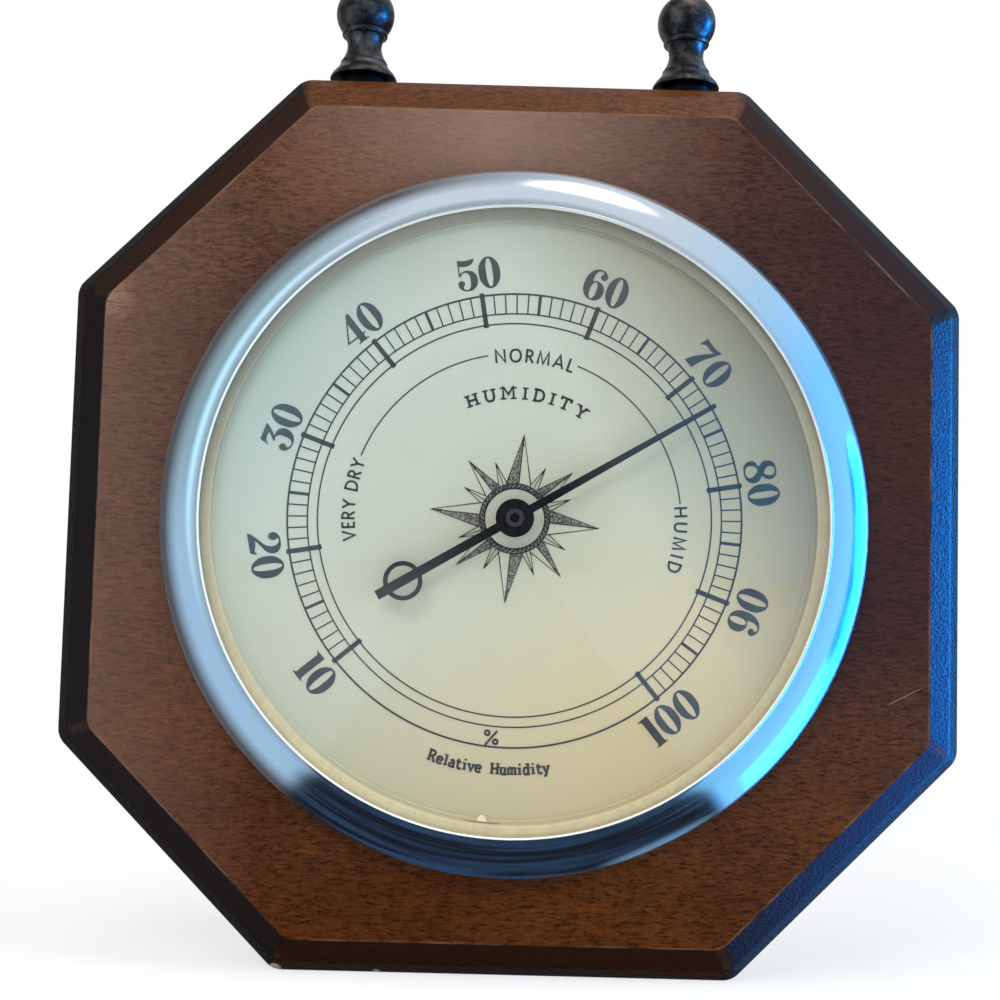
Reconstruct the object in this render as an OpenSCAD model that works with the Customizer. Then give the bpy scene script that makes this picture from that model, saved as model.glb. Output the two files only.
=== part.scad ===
// Octagonal wall unit of a weather station: a wooden plaque with a humidity instrument in its bore.
// The origin is on the dial's axis at the plaque's back face. The front faces -Y and +Z is up.
// Each piece is drawn lying on its back: x to the right, y up, z towards the viewer. face_on() stands it up.

/* [Plaque] */
// Width and height across the straight flats
plaque_w = 148; // [141:1:180]
// Thickness of the board
plaque_t = 19; // [15.5:0.5:26]
// Leg of each cut-off corner
corner_leg = 36.6; // [30:0.1:42]
// Width of the whole edge moulding, seen from the front
bevel_run = 6; // [3:0.1:8]
// Drop of the flat facet beside the face
bevel_drop = 2.4; // [1:0.1:4]
// Width of the steeper strip at the outside
nose_run = 1.9; // [0.8:0.1:2.6]
// Drop of the steeper strip
nose_drop = 1.9; // [0.8:0.1:3]

/* [Posts] */
// Distance of each post from the middle
post_x = 27.9; // [24:0.1:34]
// Radius of the ball
ball_r = 5; // [4:0.1:6.5]
// Height of the ball's centre above the board
ball_h = 13.5; // [12.8:0.1:17]
// Radius of the flared foot
flare_r = 5.75; // [5.2:0.05:7]
// Height of the flare's lower edge above the board
flare_h = 1.9; // [1.2:0.1:2.5]
// Radius of the neck
neck_r = 2.95; // [2.75:0.05:3.4]
// Radius of the stud's thread
stud_r = 1.9; // [1.2:0.05:2.3]
// Depth of the stud in the board
stud_in_board = 12; // [8:0.5:16]
// Depth of the stud in the post
stud_in_post = 7; // [4:0.5:8]

/* [Hanger] */
// Width of the sawtooth plate
hanger_w = 40; // [34:1:46]
// Height of the sawtooth plate
hanger_h = 6.5; // [5:0.5:8]
// Thickness of the sawtooth plate
hanger_t = 0.7; // [0.5:0.1:1]
// Distance of the plate's middle from the board's top
hanger_drop = 12.5; // [9.5:0.5:14]
// Depth of the pocket for the wall nail's head
pocket_d = 7; // [5:0.5:9]
// Depth of the shallow recess that the plate sits in
recess_d = 1.3; // [1.2:0.1:2]

/* [Bezel] */
// Outer radius of the bezel
bezel_r = 57.15; // [47:0.05:62]
// Width of the bezel from its outside to the window
bezel_w = 6.9; // [6:0.05:8.2]
// Height of the bezel's bead above the board
bezel_h = 6.05; // [5.5:0.05:8]
// Radius of the rolled bead's section
bead_r = 0.5; // [0.4:0.05:0.6]
// Thickness of the bezel's sheet
sheet_t = 0.7; // [0.5:0.05:0.8]
// Width of the outer curved strip
strip_run = 3.15; // [2.6:0.05:3.6]
// Height of the crease above the board
crease_h = 4.8; // [4.4:0.05:5]

/* [Window and dial] */
// Height of the dome over its own rim, outside
dome_h = 7.2; // [5.5:0.1:10]
// Thickness of the window's dome
lens_t = 1.5; // [1:0.1:1.7]
// Thickness of the window's flange
flange_t = 1; // [0.8:0.05:1.1]
// Thickness of the dial plate
dial_t = 0.6; // [0.4:0.05:0.7]
// Height of the dial's printed face above the board
dial_h = 3.4; // [3.2:0.05:3.5]
// Turn of the dial in the board, clockwise from the front
dial_turn = 5.2; // [0:0.1:45]

/* [Case] */
// Width of the board's face that the bezel covers, outside the bore
bezel_cover = 11.05; // [9:0.05:13.2]
// Radial space between the bore and the cup, where the clips work
clip_space = 1.5; // [1.3:0.1:1.8]
// Thickness of the cup's wall
cup_t = 0.6; // [0.5:0.05:0.8]
// Distance of the cup's floor from the wall behind
cup_back = 1.6; // [1.4:0.1:2]
// Width of a spring clip
clip_w = 7; // [5:0.5:8]
// Length of a spring clip's leaf
clip_l = 11.4; // [8:0.1:12]
// Thickness of a spring clip's leaf
clip_t = 0.35; // [0.25:0.05:0.4]
// Number of vent holes in the cup's floor
vent_n = 14; // [8:1:18]
// Radius of a vent hole
vent_r = 1.5; // [1:0.1:1.8]

/* [Movement] */
// Radius of the arbor
arbor_r = 0.75; // [0.6:0.05:0.9]
// Radial clearance of a shaft in its bearing
running_gap = 0.04; // [0.02:0.01:0.08]
// Radius of the setting spindle
spindle_r = 2; // [1.7:0.05:2.2]
// Outer radius of the humidity coil
coil_out_r = 15.4; // [12.5:0.1:18.5]
// Turns of the humidity coil
coil_turns = 7; // [4:1:8]
// Thickness of the coil's ribbon
ribbon_t = 0.3; // [0.2:0.05:0.5]
// Width of the coil's ribbon
ribbon_w = 5; // [3.5:0.1:5.2]
// Space between the setting arm's sweep and each leg of the bridge
leg_gap = 1.95; // [1:0.05:4]

/* [Hand] */
// Reading on the dial, in percent
reading = 73; // [10:1:100]
// Distance of the tip from the window's edge
tip_gap = 13.55; // [11.5:0.05:20]
// Reach of the tail from the hub
tail_r = 25; // [24:0.1:28]
// Distance of the ring's centre from the hub
ring_at = 20.3; // [15:0.1:20.5]
// Outer radius of the ring
ring_r = 3.12; // [2.4:0.02:3.4]
// Width of the ring's band
ring_band = 0.73; // [0.5:0.01:0.9]
// Thickness of the hand
hand_t = 0.4; // [0.3:0.05:0.5]
// Height of the hand's back above the dial
hand_h = 2; // [1.8:0.1:2.2]

/* [Hidden] */
$fn = 96;

// Clearances shared by neighbouring pieces
seat_gap = 0.05;
fit_gap = 0.02;
cut = 1;

// Instrument's radii, from the bezel inwards
window_r = bezel_r - bezel_w;
bore_r = bezel_r - bezel_cover;
cup_r = bore_r - clip_space;
tip_r = window_r - tip_gap;

// Board
half_w = plaque_w / 2;
diagonal_d = (plaque_w - corner_leg) / sqrt(2);
face_z = plaque_t;

// Posts and studs, both in the middle of the board's thickness
post_z = plaque_t / 2;
stud_room = 0.5;
collar_r = ball_r * 0.83;
collar_h = 0.95;
spigot_r = flare_r - 1.5;
groove_y = flare_h + 2.75;
groove_r = neck_r + 1;
waist_at = 0.6;
thread_pitch = 1.25;
thread_depth = 0.35;

// Hanger: the plate rests on ledges at both ends of the deep pocket
hanger_y = half_w - hanger_drop;
hanger_low = hanger_y - hanger_h / 2;
ledge_w = 7;
pocket_w = hanger_w - 2 * ledge_w;
nail_room = 7.2;
pocket_low = hanger_low - nail_room;
pocket_high = hanger_y - 0.5;
recess_gap = 0.5;
plate_back = recess_d - hanger_t - seat_gap;
hanger_bevel = 3.2;
nail_x = hanger_w / 2 - hanger_bevel;
nail_r = 0.65;
nail_head_r = 1.5;
nail_head_t = 0.35;
nail_in = 7;
nail_point = 0.8;
tooth_n = 9;
tooth_h = 1;

// Stack of the instrument, each height above the board's back
bezel_low = face_z + seat_gap;
bead_z = face_z + bezel_h - bead_r;
hem_t = 0.55;
hem_in_r = bezel_r - 2.55;
crease_r = bezel_r - strip_run;
rim_low = bezel_low + hem_t + seat_gap;
rim_r = bezel_r - sheet_t - 0.85;
dial_z = face_z + dial_h;
dial_low = dial_z - dial_t;
dial_r = crease_r - sheet_t - 0.2;
flange_top = bead_z - bead_r - seat_gap;
flange_low = flange_top - flange_t;
flange_r = window_r + 0.95;
gasket_in_r = window_r - 1.65;
gasket_r = flange_r + 0.5;
dome_r = window_r - 2.35;
dome_top = flange_top + dome_h;
dome_in_r = dome_r - 0.7;
spacer_in_r = bore_r + 0.9;

// Cup and what is fastened in it
cup_floor = cup_back + cup_t;
cup_corner = 3;
bore_gap = 0.35;
clip_reach = clip_space - bore_gap;
clip_high = face_z - 2.65;
clip_low = clip_high - clip_l;
clip_at = [90, 210, 330];
rivet_r = 0.8;
rivet_head_r = 1.4;
rivet_head_t = 0.3;
rivet_hole_l = 4;
rivet_z = clip_high - 1.7;
vent_ring_r = cup_r - 10.5;

// Movement, from the floor up
spindle_head_r = spindle_r + 1.1;
spindle_low = cup_back - 1.05;
slot_w = 0.8;
slot_d = 0.6;
rear_flange_t = 0.8;
rear_hole_r = spindle_r + 1.5;
rear_flange_r = rear_hole_r + 1.7;
rear_top = cup_floor + rear_flange_t;
spindle_top = rear_top + 3.2;
arm_t = 0.8;
arm_low = rear_top + seat_gap;
arm_w = 5;
arm_hub_r = spindle_r + 2.2;
anchor_r = 1;
anchor_pin_r = 0.7;
anchor_at = coil_out_r + anchor_r + 0.15;
coil_low = spindle_top + 0.5;
coil_in_r = 2.75;
coil_step = 15;
collet_r = coil_in_r - 0.1;
bridge_t = 1;
bridge_w = 2 * (anchor_at + arm_w / 2 + leg_gap);
bridge_top = coil_low + ribbon_w + 3.6;
bridge_depth = 9;
foot_l = 7;
screw_x = bridge_w / 2 + bridge_t + foot_l / 2;
screw_r = 1.2;
screw_head_r = 2.1;
screw_head_t = 0.85;
bush_r = 2.3;
bush_flange_t = 0.7;
bush_flange_r = 3.1;
end_collar_r = 2;
end_collar_l = 1.1;
end_play = 0.15;
bush_tail = 0.6;
pivot_r = 0.5;
pivot_low = rear_top - 0.2;
pivot_high = spindle_top + 0.2;

// Hand
hand_z = dial_z + hand_h;
disc_r = 3.05;
boss_r = 1.45;
boss_flange_r = 2.15;
boss_step = 0.2;
boss_low = dial_z + 0.9;
boss_high = hand_z + hand_t + 0.9;
arbor_high = boss_high + 0.6;
tip_pin_r = 0.4;
tip_half = 0.37;
hub_half = 0.7;
tail_half = 0.77;
dial_hole_r = 2.2;
reading_mid = 55;
degrees_per_unit = 3;
hand_angle = (reading - reading_mid) * degrees_per_unit;

// Points of an arc about [x, y], from angle a0 to a1
function arc(x, y, r, a0, a1, n = 8) =
    [for (i = [0:n]) [x + r * cos(a0 + (a1 - a0) * i / n), y + r * sin(a0 + (a1 - a0) * i / n)]];

// Height at radius r of a round cap whose rim is at [rim, low] and whose top is at height top
function cap_radius(rim, rise) = (rim * rim + rise * rise) / (2 * rise);
function cap_z(r, rim, low, top) =
    top - cap_radius(rim, top - low) + sqrt(pow(cap_radius(rim, top - low), 2) - r * r);

module face_on() {
    rotate([90, 0, 0]) children();
}

// Pieces of the instrument share the dial's turn in the board
module turned() {
    face_on() rotate([0, 0, -dial_turn]) children();
}

module ring(r_out, r_in, low, high) {
    translate([0, 0, low]) difference() {
        cylinder(h = high - low, r = r_out);
        translate([0, 0, -cut]) cylinder(h = high - low + 2 * cut, r = r_in);
    }
}

module disc(r, low, high) {
    translate([0, 0, low]) cylinder(h = high - low, r = r);
}

// Octagon with long straight sides and shorter diagonals
module octagon() {
    a = half_w - corner_leg;
    polygon([
        [-a, -half_w], [a, -half_w], [half_w, -a], [half_w, a],
        [a, half_w], [-a, half_w], [-half_w, a], [-half_w, -a]
    ]);
}

// Waste outside the edge moulding, as a section: x from the side's line, y from the face
module moulding_waste() {
    over = 6;
    polygon([
        [-bevel_run, 0], [-nose_run, -bevel_drop], [0, -bevel_drop - nose_drop],
        [over, -bevel_drop - nose_drop], [over, over], [-bevel_run, over]
    ]);
}

module edge_cutters() {
    for (i = [0:7]) {
        side_d = (i % 2 == 0) ? half_w : diagonal_d;
        rotate([0, 0, 45 * i]) translate([side_d, plaque_w / 2, face_z])
            rotate([90, 0, 0]) linear_extrude(plaque_w) moulding_waste();
    }
}

module hanger_pocket() {
    translate([-pocket_w / 2, pocket_low, -cut])
        cube([pocket_w, pocket_high - pocket_low, pocket_d + cut]);
    translate([-hanger_w / 2 - recess_gap, hanger_low - recess_gap, -cut])
        cube([hanger_w + 2 * recess_gap, hanger_h + 2 * recess_gap, recess_d + cut]);
    for (side = [-1, 1]) {
        translate([side * nail_x, hanger_y, 0]) cylinder(h = recess_d + nail_in, r = nail_r + fit_gap);
    }
}

module plaque() {
    color([0.36, 0.2, 0.13]) face_on() difference() {
        linear_extrude(plaque_t) octagon();
        edge_cutters();
        disc(bore_r, -cut, plaque_t + cut);
        hanger_pocket();
        for (side = [-1, 1]) {
            translate([side * post_x, half_w + cut, post_z]) rotate([90, 0, 0])
                cylinder(h = stud_in_board + 2 * cut, r = stud_r + fit_gap);
        }
    }
}

// Half section of a post: x is the radius, y the height above the board. A short spigot stands on
// the board, and above it come the flare, a groove, the waist, the collar and the ball.
module post_section() {
    steps = 12;
    waist_low = groove_y + 0.15;
    ball_join = acos(collar_r / ball_r);
    collar_top = ball_h - ball_r * sin(ball_join);
    collar_low = collar_top - collar_h;
    foot_swell = groove_r + 0.1 - neck_r;
    neck_swell = collar_r - 0.6 - neck_r;
    function waist(t) = neck_r + (t < waist_at
        ? foot_swell * pow(1 - t / waist_at, 1.8)
        : neck_swell * pow((t - waist_at) / (1 - waist_at), 2));
    polygon(concat(
        [[0, 0], [spigot_r, 0], [spigot_r, flare_h - 0.35], [flare_r - 0.2, flare_h - 0.15]],
        arc(flare_r - 0.15, flare_h, 0.15, -90, 20, 3),
        arc(flare_r - 3.2, flare_h - 1.1, 3.4, 22, 46, 6),
        [[groove_r + 0.12, groove_y - 0.1], [groove_r, groove_y]],
        [for (i = [0:steps]) [waist(i / steps), waist_low + (collar_low - waist_low) * i / steps]],
        [[collar_r - 0.35, collar_low], [collar_r - 0.08, collar_low + 0.12]],
        [[collar_r, collar_top - 0.35], [collar_r - 0.12, collar_top - 0.08]],
        arc(0, ball_h, ball_r, -ball_join, 90, 18)
    ));
}

module post(side) {
    face_on() translate([side * post_x, half_w + seat_gap, post_z]) rotate([-90, 0, 0]) difference() {
        rotate_extrude() post_section();
        translate([0, 0, -cut]) cylinder(h = stud_in_post + cut + stud_room, r = stud_r + fit_gap);
    }
}

module post_left() {
    color([0.2, 0.2, 0.21]) post(-1);
}

module post_right() {
    color([0.2, 0.2, 0.21]) post(1);
}

// Half section of a stud with a pointed end and a thread of separate ridges
module stud_section() {
    ridges = floor((stud_in_board + stud_in_post - 3) / thread_pitch);
    core = stud_r - thread_depth;
    polygon(concat(
        [[0, -stud_in_board], [core, 1.5 - stud_in_board]],
        [for (i = [0:ridges - 1]) each [
            [core, 2 - stud_in_board + i * thread_pitch],
            [stud_r, 2 - stud_in_board + (i + 0.5) * thread_pitch]
        ]],
        [[core, 2 - stud_in_board + ridges * thread_pitch], [core, stud_in_post], [0, stud_in_post]]
    ));
}

module post_studs() {
    color([0.6, 0.6, 0.62]) face_on() for (side = [-1, 1]) {
        translate([side * post_x, half_w, post_z]) rotate([-90, 0, 0]) rotate_extrude() stud_section();
    }
}

// Outline of the sawtooth plate, its teeth along the lower edge
module hanger_outline() {
    teeth_w = pocket_w - 4;
    tooth_w = teeth_w / tooth_n;
    first = -teeth_w / 2;
    bevel_y = 0.6;
    polygon(concat(
        [[-hanger_w / 2, -hanger_h / 2], [first, -hanger_h / 2]],
        [for (i = [0:tooth_n - 1]) each [
            [first + (i + 0.5) * tooth_w, tooth_h - hanger_h / 2],
            [first + (i + 1) * tooth_w, -hanger_h / 2]
        ]],
        [[hanger_w / 2, -hanger_h / 2], [hanger_w / 2, bevel_y]],
        [[hanger_w / 2 - hanger_bevel, hanger_h / 2], [hanger_bevel - hanger_w / 2, hanger_h / 2]],
        [[-hanger_w / 2, bevel_y]]
    ));
}

module hanger() {
    color([0.75, 0.62, 0.3]) face_on() difference() {
        translate([0, hanger_y, plate_back]) linear_extrude(hanger_t) hanger_outline();
        for (side = [-1, 1]) {
            translate([side * nail_x, hanger_y, -cut]) cylinder(h = recess_d + 2 * cut, r = nail_r + fit_gap);
        }
    }
}

module hanger_nails() {
    color([0.75, 0.62, 0.3]) face_on() for (side = [-1, 1]) {
        translate([side * nail_x, hanger_y, plate_back - nail_head_t]) {
            cylinder(h = nail_head_t, r = nail_head_r);
            cylinder(h = nail_in, r = nail_r);
            translate([0, 0, nail_in]) cylinder(h = nail_point, r1 = nail_r, r2 = 0.05);
        }
    }
}

// Half section of the bezel: hem, rolled outer edge, curved strip, rounded face and rolled bead.
// The strip's slope goes from strip_top at the crease to strip_foot where the outer edge rolls down.
module bezel_section() {
    strip_top = 30;
    strip_foot = 50;
    roll_r = 0.95;
    bulge = 0.22;
    bead_x = window_r + bead_r;
    strip_r = (strip_run - roll_r * (1 - sin(strip_foot))) / (sin(strip_foot) - sin(strip_top));
    strip_x = crease_r - strip_r * sin(strip_top);
    strip_y = face_z + crease_h - strip_r * cos(strip_top);
    roll_x = bezel_r - roll_r;
    roll_y = strip_y + (strip_r - roll_r) * cos(strip_foot);
    polygon(concat(
        [[hem_in_r, bezel_low], [bezel_r - 0.4, bezel_low]],
        arc(bezel_r - 0.4, bezel_low + 0.4, 0.4, -90, 0, 4),
        arc(roll_x, roll_y, roll_r, 0, 90 - strip_foot, 5),
        arc(strip_x, strip_y, strip_r, 89 - strip_foot, 90 - strip_top, 6),
        [for (i = [1:7]) [
            crease_r + (bead_x - crease_r) * i / 8,
            face_z + crease_h + (bezel_h - crease_h) * i / 8 + bulge * sin(180 * i / 8)
        ]],
        arc(bead_x, bead_z, bead_r, 90, 270, 12),
        [[flange_r + 0.3, bead_z - bead_r + 0.02]],
        arc(strip_x, strip_y, strip_r - sheet_t, 90 - strip_top, 90 - strip_foot, 6),
        [[bezel_r - sheet_t, roll_y], [bezel_r - sheet_t, bezel_low + hem_t], [hem_in_r, bezel_low + hem_t]]
    ));
}

module bezel() {
    color([0.82, 0.84, 0.86]) face_on() rotate_extrude($fn = 128) bezel_section();
}

// Half section of the window: flange, small step and dome of even thickness
module lens_section() {
    steps = 14;
    polygon(concat(
        [[dome_r, flange_top], [flange_r, flange_top], [flange_r, flange_low], [dome_in_r, flange_low]],
        [for (i = [1:steps]) let (r = dome_in_r * (1 - i / steps))
            [r, cap_z(r, dome_in_r, flange_low, dome_top - lens_t)]],
        [for (i = [0:steps - 1]) let (r = dome_r * i / steps)
            [r, cap_z(r, dome_r, flange_top, dome_top)]]
    ));
}

module lens() {
    color([0.85, 0.95, 0.95, 0.35]) face_on() rotate_extrude($fn = 128) lens_section();
}

module lens_gasket() {
    color([0.72, 0.66, 0.48]) face_on() ring(gasket_r, gasket_in_r, dial_z + seat_gap, flange_low - seat_gap);
}

module dial() {
    color([0.9, 0.88, 0.74]) turned() ring(dial_r, dial_hole_r, dial_low, dial_z);
}

module spacer_ring() {
    color([0.45, 0.38, 0.28]) face_on()
        ring(dial_r - 0.4, spacer_in_r, rim_low + cup_t + seat_gap, dial_low - seat_gap);
}

// Half section of the cup: floor, rounded corner, wall and rim
module cup_section() {
    inner_r = cup_r - cup_t;
    rim_top = rim_low + cup_t;
    polygon(concat(
        [[rear_hole_r, cup_back], [cup_r - cup_corner, cup_back]],
        arc(cup_r - cup_corner, cup_back + cup_corner, cup_corner, -90, 0, 8),
        [[cup_r, rim_low], [rim_r, rim_low], [rim_r, rim_top], [inner_r, rim_top]],
        arc(cup_r - cup_corner, cup_back + cup_corner, cup_corner - cup_t, 0, -90, 8),
        [[rear_hole_r, cup_floor]]
    ));
}

module case_cup() {
    color([0.62, 0.6, 0.55]) turned() difference() {
        rotate_extrude() cup_section();
        for (i = [0:vent_n - 1]) {
            rotate([0, 0, (i + 0.5) * 360 / vent_n]) translate([vent_ring_r, 0, cup_back - cut])
                cylinder(h = cup_t + 2 * cut, r = vent_r);
        }
        for (side = [-1, 1]) {
            translate([side * screw_x, 0, cup_back - cut])
                cylinder(h = cup_t + 2 * cut, r = screw_r + fit_gap);
        }
        for (a = clip_at) {
            rotate([0, 0, a]) translate([cup_r - 2, 0, rivet_z]) rotate([0, 90, 0])
                cylinder(h = rivet_hole_l, r = rivet_r + fit_gap);
        }
    }
}

// Strap with two legs and two feet that stand on the cup's floor
module bridge() {
    low = cup_floor + seat_gap;
    half = bridge_w / 2;
    outer = half + bridge_t;
    color([0.7, 0.7, 0.66]) turned() difference() {
        translate([0, bridge_depth / 2, 0]) rotate([90, 0, 0]) linear_extrude(bridge_depth) polygon([
            [-half, bridge_top - bridge_t], [half, bridge_top - bridge_t], [half, low],
            [outer + foot_l, low], [outer + foot_l, low + bridge_t], [outer, low + bridge_t],
            [outer, bridge_top], [-outer, bridge_top], [-outer, low + bridge_t],
            [-outer - foot_l, low + bridge_t], [-outer - foot_l, low], [-half, low]
        ]);
        disc(bush_r + fit_gap, bridge_top - bridge_t - cut, bridge_top + cut);
        for (side = [-1, 1]) {
            translate([side * screw_x, 0, low - cut]) cylinder(h = bridge_t + 2 * cut, r = screw_r + fit_gap);
        }
    }
}

module bridge_screws() {
    color([0.75, 0.75, 0.76]) turned() for (side = [-1, 1]) {
        translate([side * screw_x, 0, 0]) difference() {
            union() {
                disc(screw_head_r, cup_back - seat_gap - screw_head_t, cup_back - seat_gap);
                disc(screw_r, cup_back - seat_gap, cup_floor + bridge_t + 1.4);
            }
            translate([-slot_w / 2, -screw_head_r - cut, cup_back - seat_gap - screw_head_t - cut])
                cube([slot_w, 2 * (screw_head_r + cut), cut + 0.4]);
        }
    }
}

module front_bush() {
    top = bridge_top + seat_gap;
    color([0.8, 0.65, 0.3]) turned() difference() {
        union() {
            disc(bush_flange_r, top, top + bush_flange_t);
            disc(bush_r, bridge_top - bridge_t - bush_tail, top + bush_flange_t);
        }
        disc(arbor_r + running_gap, 0, dial_z);
    }
}

module rear_bush() {
    color([0.8, 0.65, 0.3]) turned() difference() {
        union() {
            disc(rear_flange_r, cup_floor + seat_gap, rear_top);
            disc(rear_hole_r - fit_gap, cup_back, rear_top);
        }
        disc(spindle_r + running_gap, 0, rear_top + cut);
    }
}

// Section of a leaf clip: x is outwards from the cup's wall, y runs along the cup's depth
module clip_section() {
    span = clip_high - clip_low;
    steps = 12;
    seat = 0.34;
    bow = clip_reach - clip_t - fit_gap;
    function free(i) = max(0, i / steps - seat) / (1 - seat);
    function out(i) = fit_gap + bow * pow(sin(180 * free(i)), 1.2);
    polygon(concat(
        [for (i = [0:steps]) [out(i) + clip_t, clip_high - span * i / steps]],
        [for (i = [steps:-1:0]) [out(i), clip_high - span * i / steps]]
    ));
}

module spring_clips() {
    color([0.5, 0.52, 0.56]) turned() for (a = clip_at) {
        rotate([0, 0, a]) difference() {
            translate([cup_r, clip_w / 2, 0]) rotate([90, 0, 0]) linear_extrude(clip_w) clip_section();
            translate([cup_r - cut, 0, rivet_z]) rotate([0, 90, 0])
                cylinder(h = rivet_hole_l, r = rivet_r + fit_gap);
        }
    }
}

module clip_rivets() {
    inside = cup_t + 0.8;
    outside = fit_gap + clip_t + fit_gap;
    color([0.75, 0.75, 0.76]) turned() for (a = clip_at) {
        rotate([0, 0, a]) translate([cup_r, 0, rivet_z]) rotate([0, 90, 0]) {
            translate([0, 0, -inside]) cylinder(h = 0.5, r = rivet_head_r);
            translate([0, 0, -inside]) cylinder(h = inside + outside + 0.1, r = rivet_r);
            translate([0, 0, outside]) cylinder(h = rivet_head_t, r = rivet_head_r);
        }
    }
}

module setting_spindle() {
    color([0.8, 0.65, 0.3]) turned() difference() {
        union() {
            disc(spindle_head_r, spindle_low, cup_back - seat_gap);
            disc(spindle_r, spindle_low, spindle_top);
        }
        translate([-slot_w / 2, -spindle_head_r - cut, spindle_low - cut])
            cube([slot_w, 2 * (spindle_head_r + cut), cut + slot_d]);
        disc(pivot_r + running_gap, pivot_low - 0.3, spindle_top + cut);
    }
}

module setting_arm() {
    color([0.7, 0.7, 0.66]) turned() difference() {
        union() {
            disc(arm_hub_r, arm_low, arm_low + arm_t);
            translate([0, -arm_w / 2, arm_low]) cube([anchor_at, arm_w, arm_t]);
            translate([anchor_at, 0, 0]) disc(arm_w / 2, arm_low, arm_low + arm_t);
        }
        disc(spindle_r + fit_gap, 0, arm_low + arm_t + cut);
        translate([anchor_at, 0, 0]) disc(anchor_pin_r + fit_gap, 0, arm_low + arm_t + cut);
    }
}

module anchor_post() {
    color([0.8, 0.65, 0.3]) turned() translate([anchor_at, 0, 0]) {
        disc(anchor_pin_r, arm_low - 0.3, arm_low + arm_t + seat_gap);
        disc(anchor_r, arm_low + arm_t + seat_gap, coil_low + ribbon_w + 0.3);
    }
}

// Ribbon wound from the collet out to the anchor post, its outer end at angle 0
module humidity_coil() {
    steps = coil_turns * 360 / coil_step;
    growth = (coil_out_r - coil_in_r) / steps;
    function at(i, shift) = (coil_in_r + growth * i + shift) * [cos(coil_step * i), sin(coil_step * i)];
    color([0.62, 0.42, 0.28]) turned() translate([0, 0, coil_low]) linear_extrude(ribbon_w) polygon(concat(
        [for (i = [0:steps]) at(i, 0)],
        [for (i = [steps:-1:0]) at(i, -ribbon_t)]
    ));
}

module arbor() {
    color([0.7, 0.71, 0.73]) turned() {
        disc(pivot_r, pivot_low, pivot_high);
        disc(arbor_r, pivot_high, boss_high);
        disc(tip_pin_r, boss_high - cut, arbor_high);
    }
}

module coil_collet() {
    color([0.8, 0.65, 0.3]) turned()
        ring(collet_r - ribbon_t, arbor_r + fit_gap, coil_low - 0.2, coil_low + ribbon_w + 0.2);
}

module end_collar() {
    high = bridge_top - bridge_t - bush_tail - end_play;
    color([0.8, 0.65, 0.3]) turned()
        ring(end_collar_r, arbor_r + fit_gap, high - end_collar_l, high);
}

module hub_bush() {
    color([0.12, 0.12, 0.13]) turned() difference() {
        union() {
            disc(boss_r, hand_z - fit_gap, boss_high - boss_step);
            disc(boss_flange_r, boss_low, hand_z - fit_gap);
        }
        disc(arbor_r + fit_gap, 0, arbor_high);
    }
}

// Tapered bar with blunt ends, a ring near the tail and a round hub
module hand() {
    color([0.08, 0.08, 0.09]) turned() rotate([0, 0, -hand_angle]) difference() {
        union() {
            translate([0, 0, hand_z]) linear_extrude(hand_t) polygon([
                [-tail_half, -tail_r], [tail_half, -tail_r], [hub_half, 0],
                [tip_half, tip_r], [-tip_half, tip_r], [-hub_half, 0]
            ]);
            translate([0, -ring_at, 0]) ring(ring_r, ring_r - ring_band, hand_z, hand_z + hand_t);
            disc(disc_r, hand_z, hand_z + hand_t);
        }
        disc(boss_r + fit_gap, 0, arbor_high);
    }
}

plaque();
post_left();
post_right();
post_studs();
hanger();
hanger_nails();
bezel();
lens();
lens_gasket();
dial();
spacer_ring();
case_cup();
bridge();
bridge_screws();
front_bush();
rear_bush();
spring_clips();
clip_rivets();
setting_spindle();
setting_arm();
anchor_post();
humidity_coil();
arbor();
coil_collet();
end_collar();
hub_bush();
hand();
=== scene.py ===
# %% [markdown]
# # An octagonal wall hygrometer
#
# This lesson dresses a wall instrument that is already built as a CAD frame: an eight-sided wooden
# plaque, two turned metal posts on its top edge, and a round humidity instrument set in its middle.
# The frame gives every size and place. Blender adds what a CAD solid can't hold: softened wooden
# edges, grain, a rolled and polished bezel, the clear domed window and all that is printed on the dial.
#
# The frame is loaded first, because each piece below sits where the frame says.

# %% Load the frame
import math

import bmesh
import bpy
from mathutils import Matrix, Vector


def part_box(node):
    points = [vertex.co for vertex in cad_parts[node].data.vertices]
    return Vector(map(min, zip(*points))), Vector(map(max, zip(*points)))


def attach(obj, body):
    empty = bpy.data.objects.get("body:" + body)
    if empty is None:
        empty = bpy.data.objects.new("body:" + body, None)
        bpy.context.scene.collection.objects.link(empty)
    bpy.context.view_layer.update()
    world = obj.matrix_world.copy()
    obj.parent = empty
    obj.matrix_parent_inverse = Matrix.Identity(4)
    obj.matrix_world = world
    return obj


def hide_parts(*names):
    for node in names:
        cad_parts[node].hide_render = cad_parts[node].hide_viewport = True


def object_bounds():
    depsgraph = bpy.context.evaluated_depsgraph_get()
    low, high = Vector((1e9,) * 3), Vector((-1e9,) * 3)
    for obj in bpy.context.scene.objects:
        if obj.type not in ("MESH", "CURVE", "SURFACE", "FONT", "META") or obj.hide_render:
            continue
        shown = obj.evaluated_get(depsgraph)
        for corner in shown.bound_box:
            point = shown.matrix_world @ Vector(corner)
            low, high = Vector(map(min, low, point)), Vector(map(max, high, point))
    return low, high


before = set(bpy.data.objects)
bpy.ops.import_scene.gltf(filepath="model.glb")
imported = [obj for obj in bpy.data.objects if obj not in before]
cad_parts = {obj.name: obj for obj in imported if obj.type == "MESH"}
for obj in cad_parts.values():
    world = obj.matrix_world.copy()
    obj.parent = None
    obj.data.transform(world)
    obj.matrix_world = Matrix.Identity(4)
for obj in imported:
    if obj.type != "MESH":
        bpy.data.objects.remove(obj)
cad_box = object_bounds()

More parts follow.
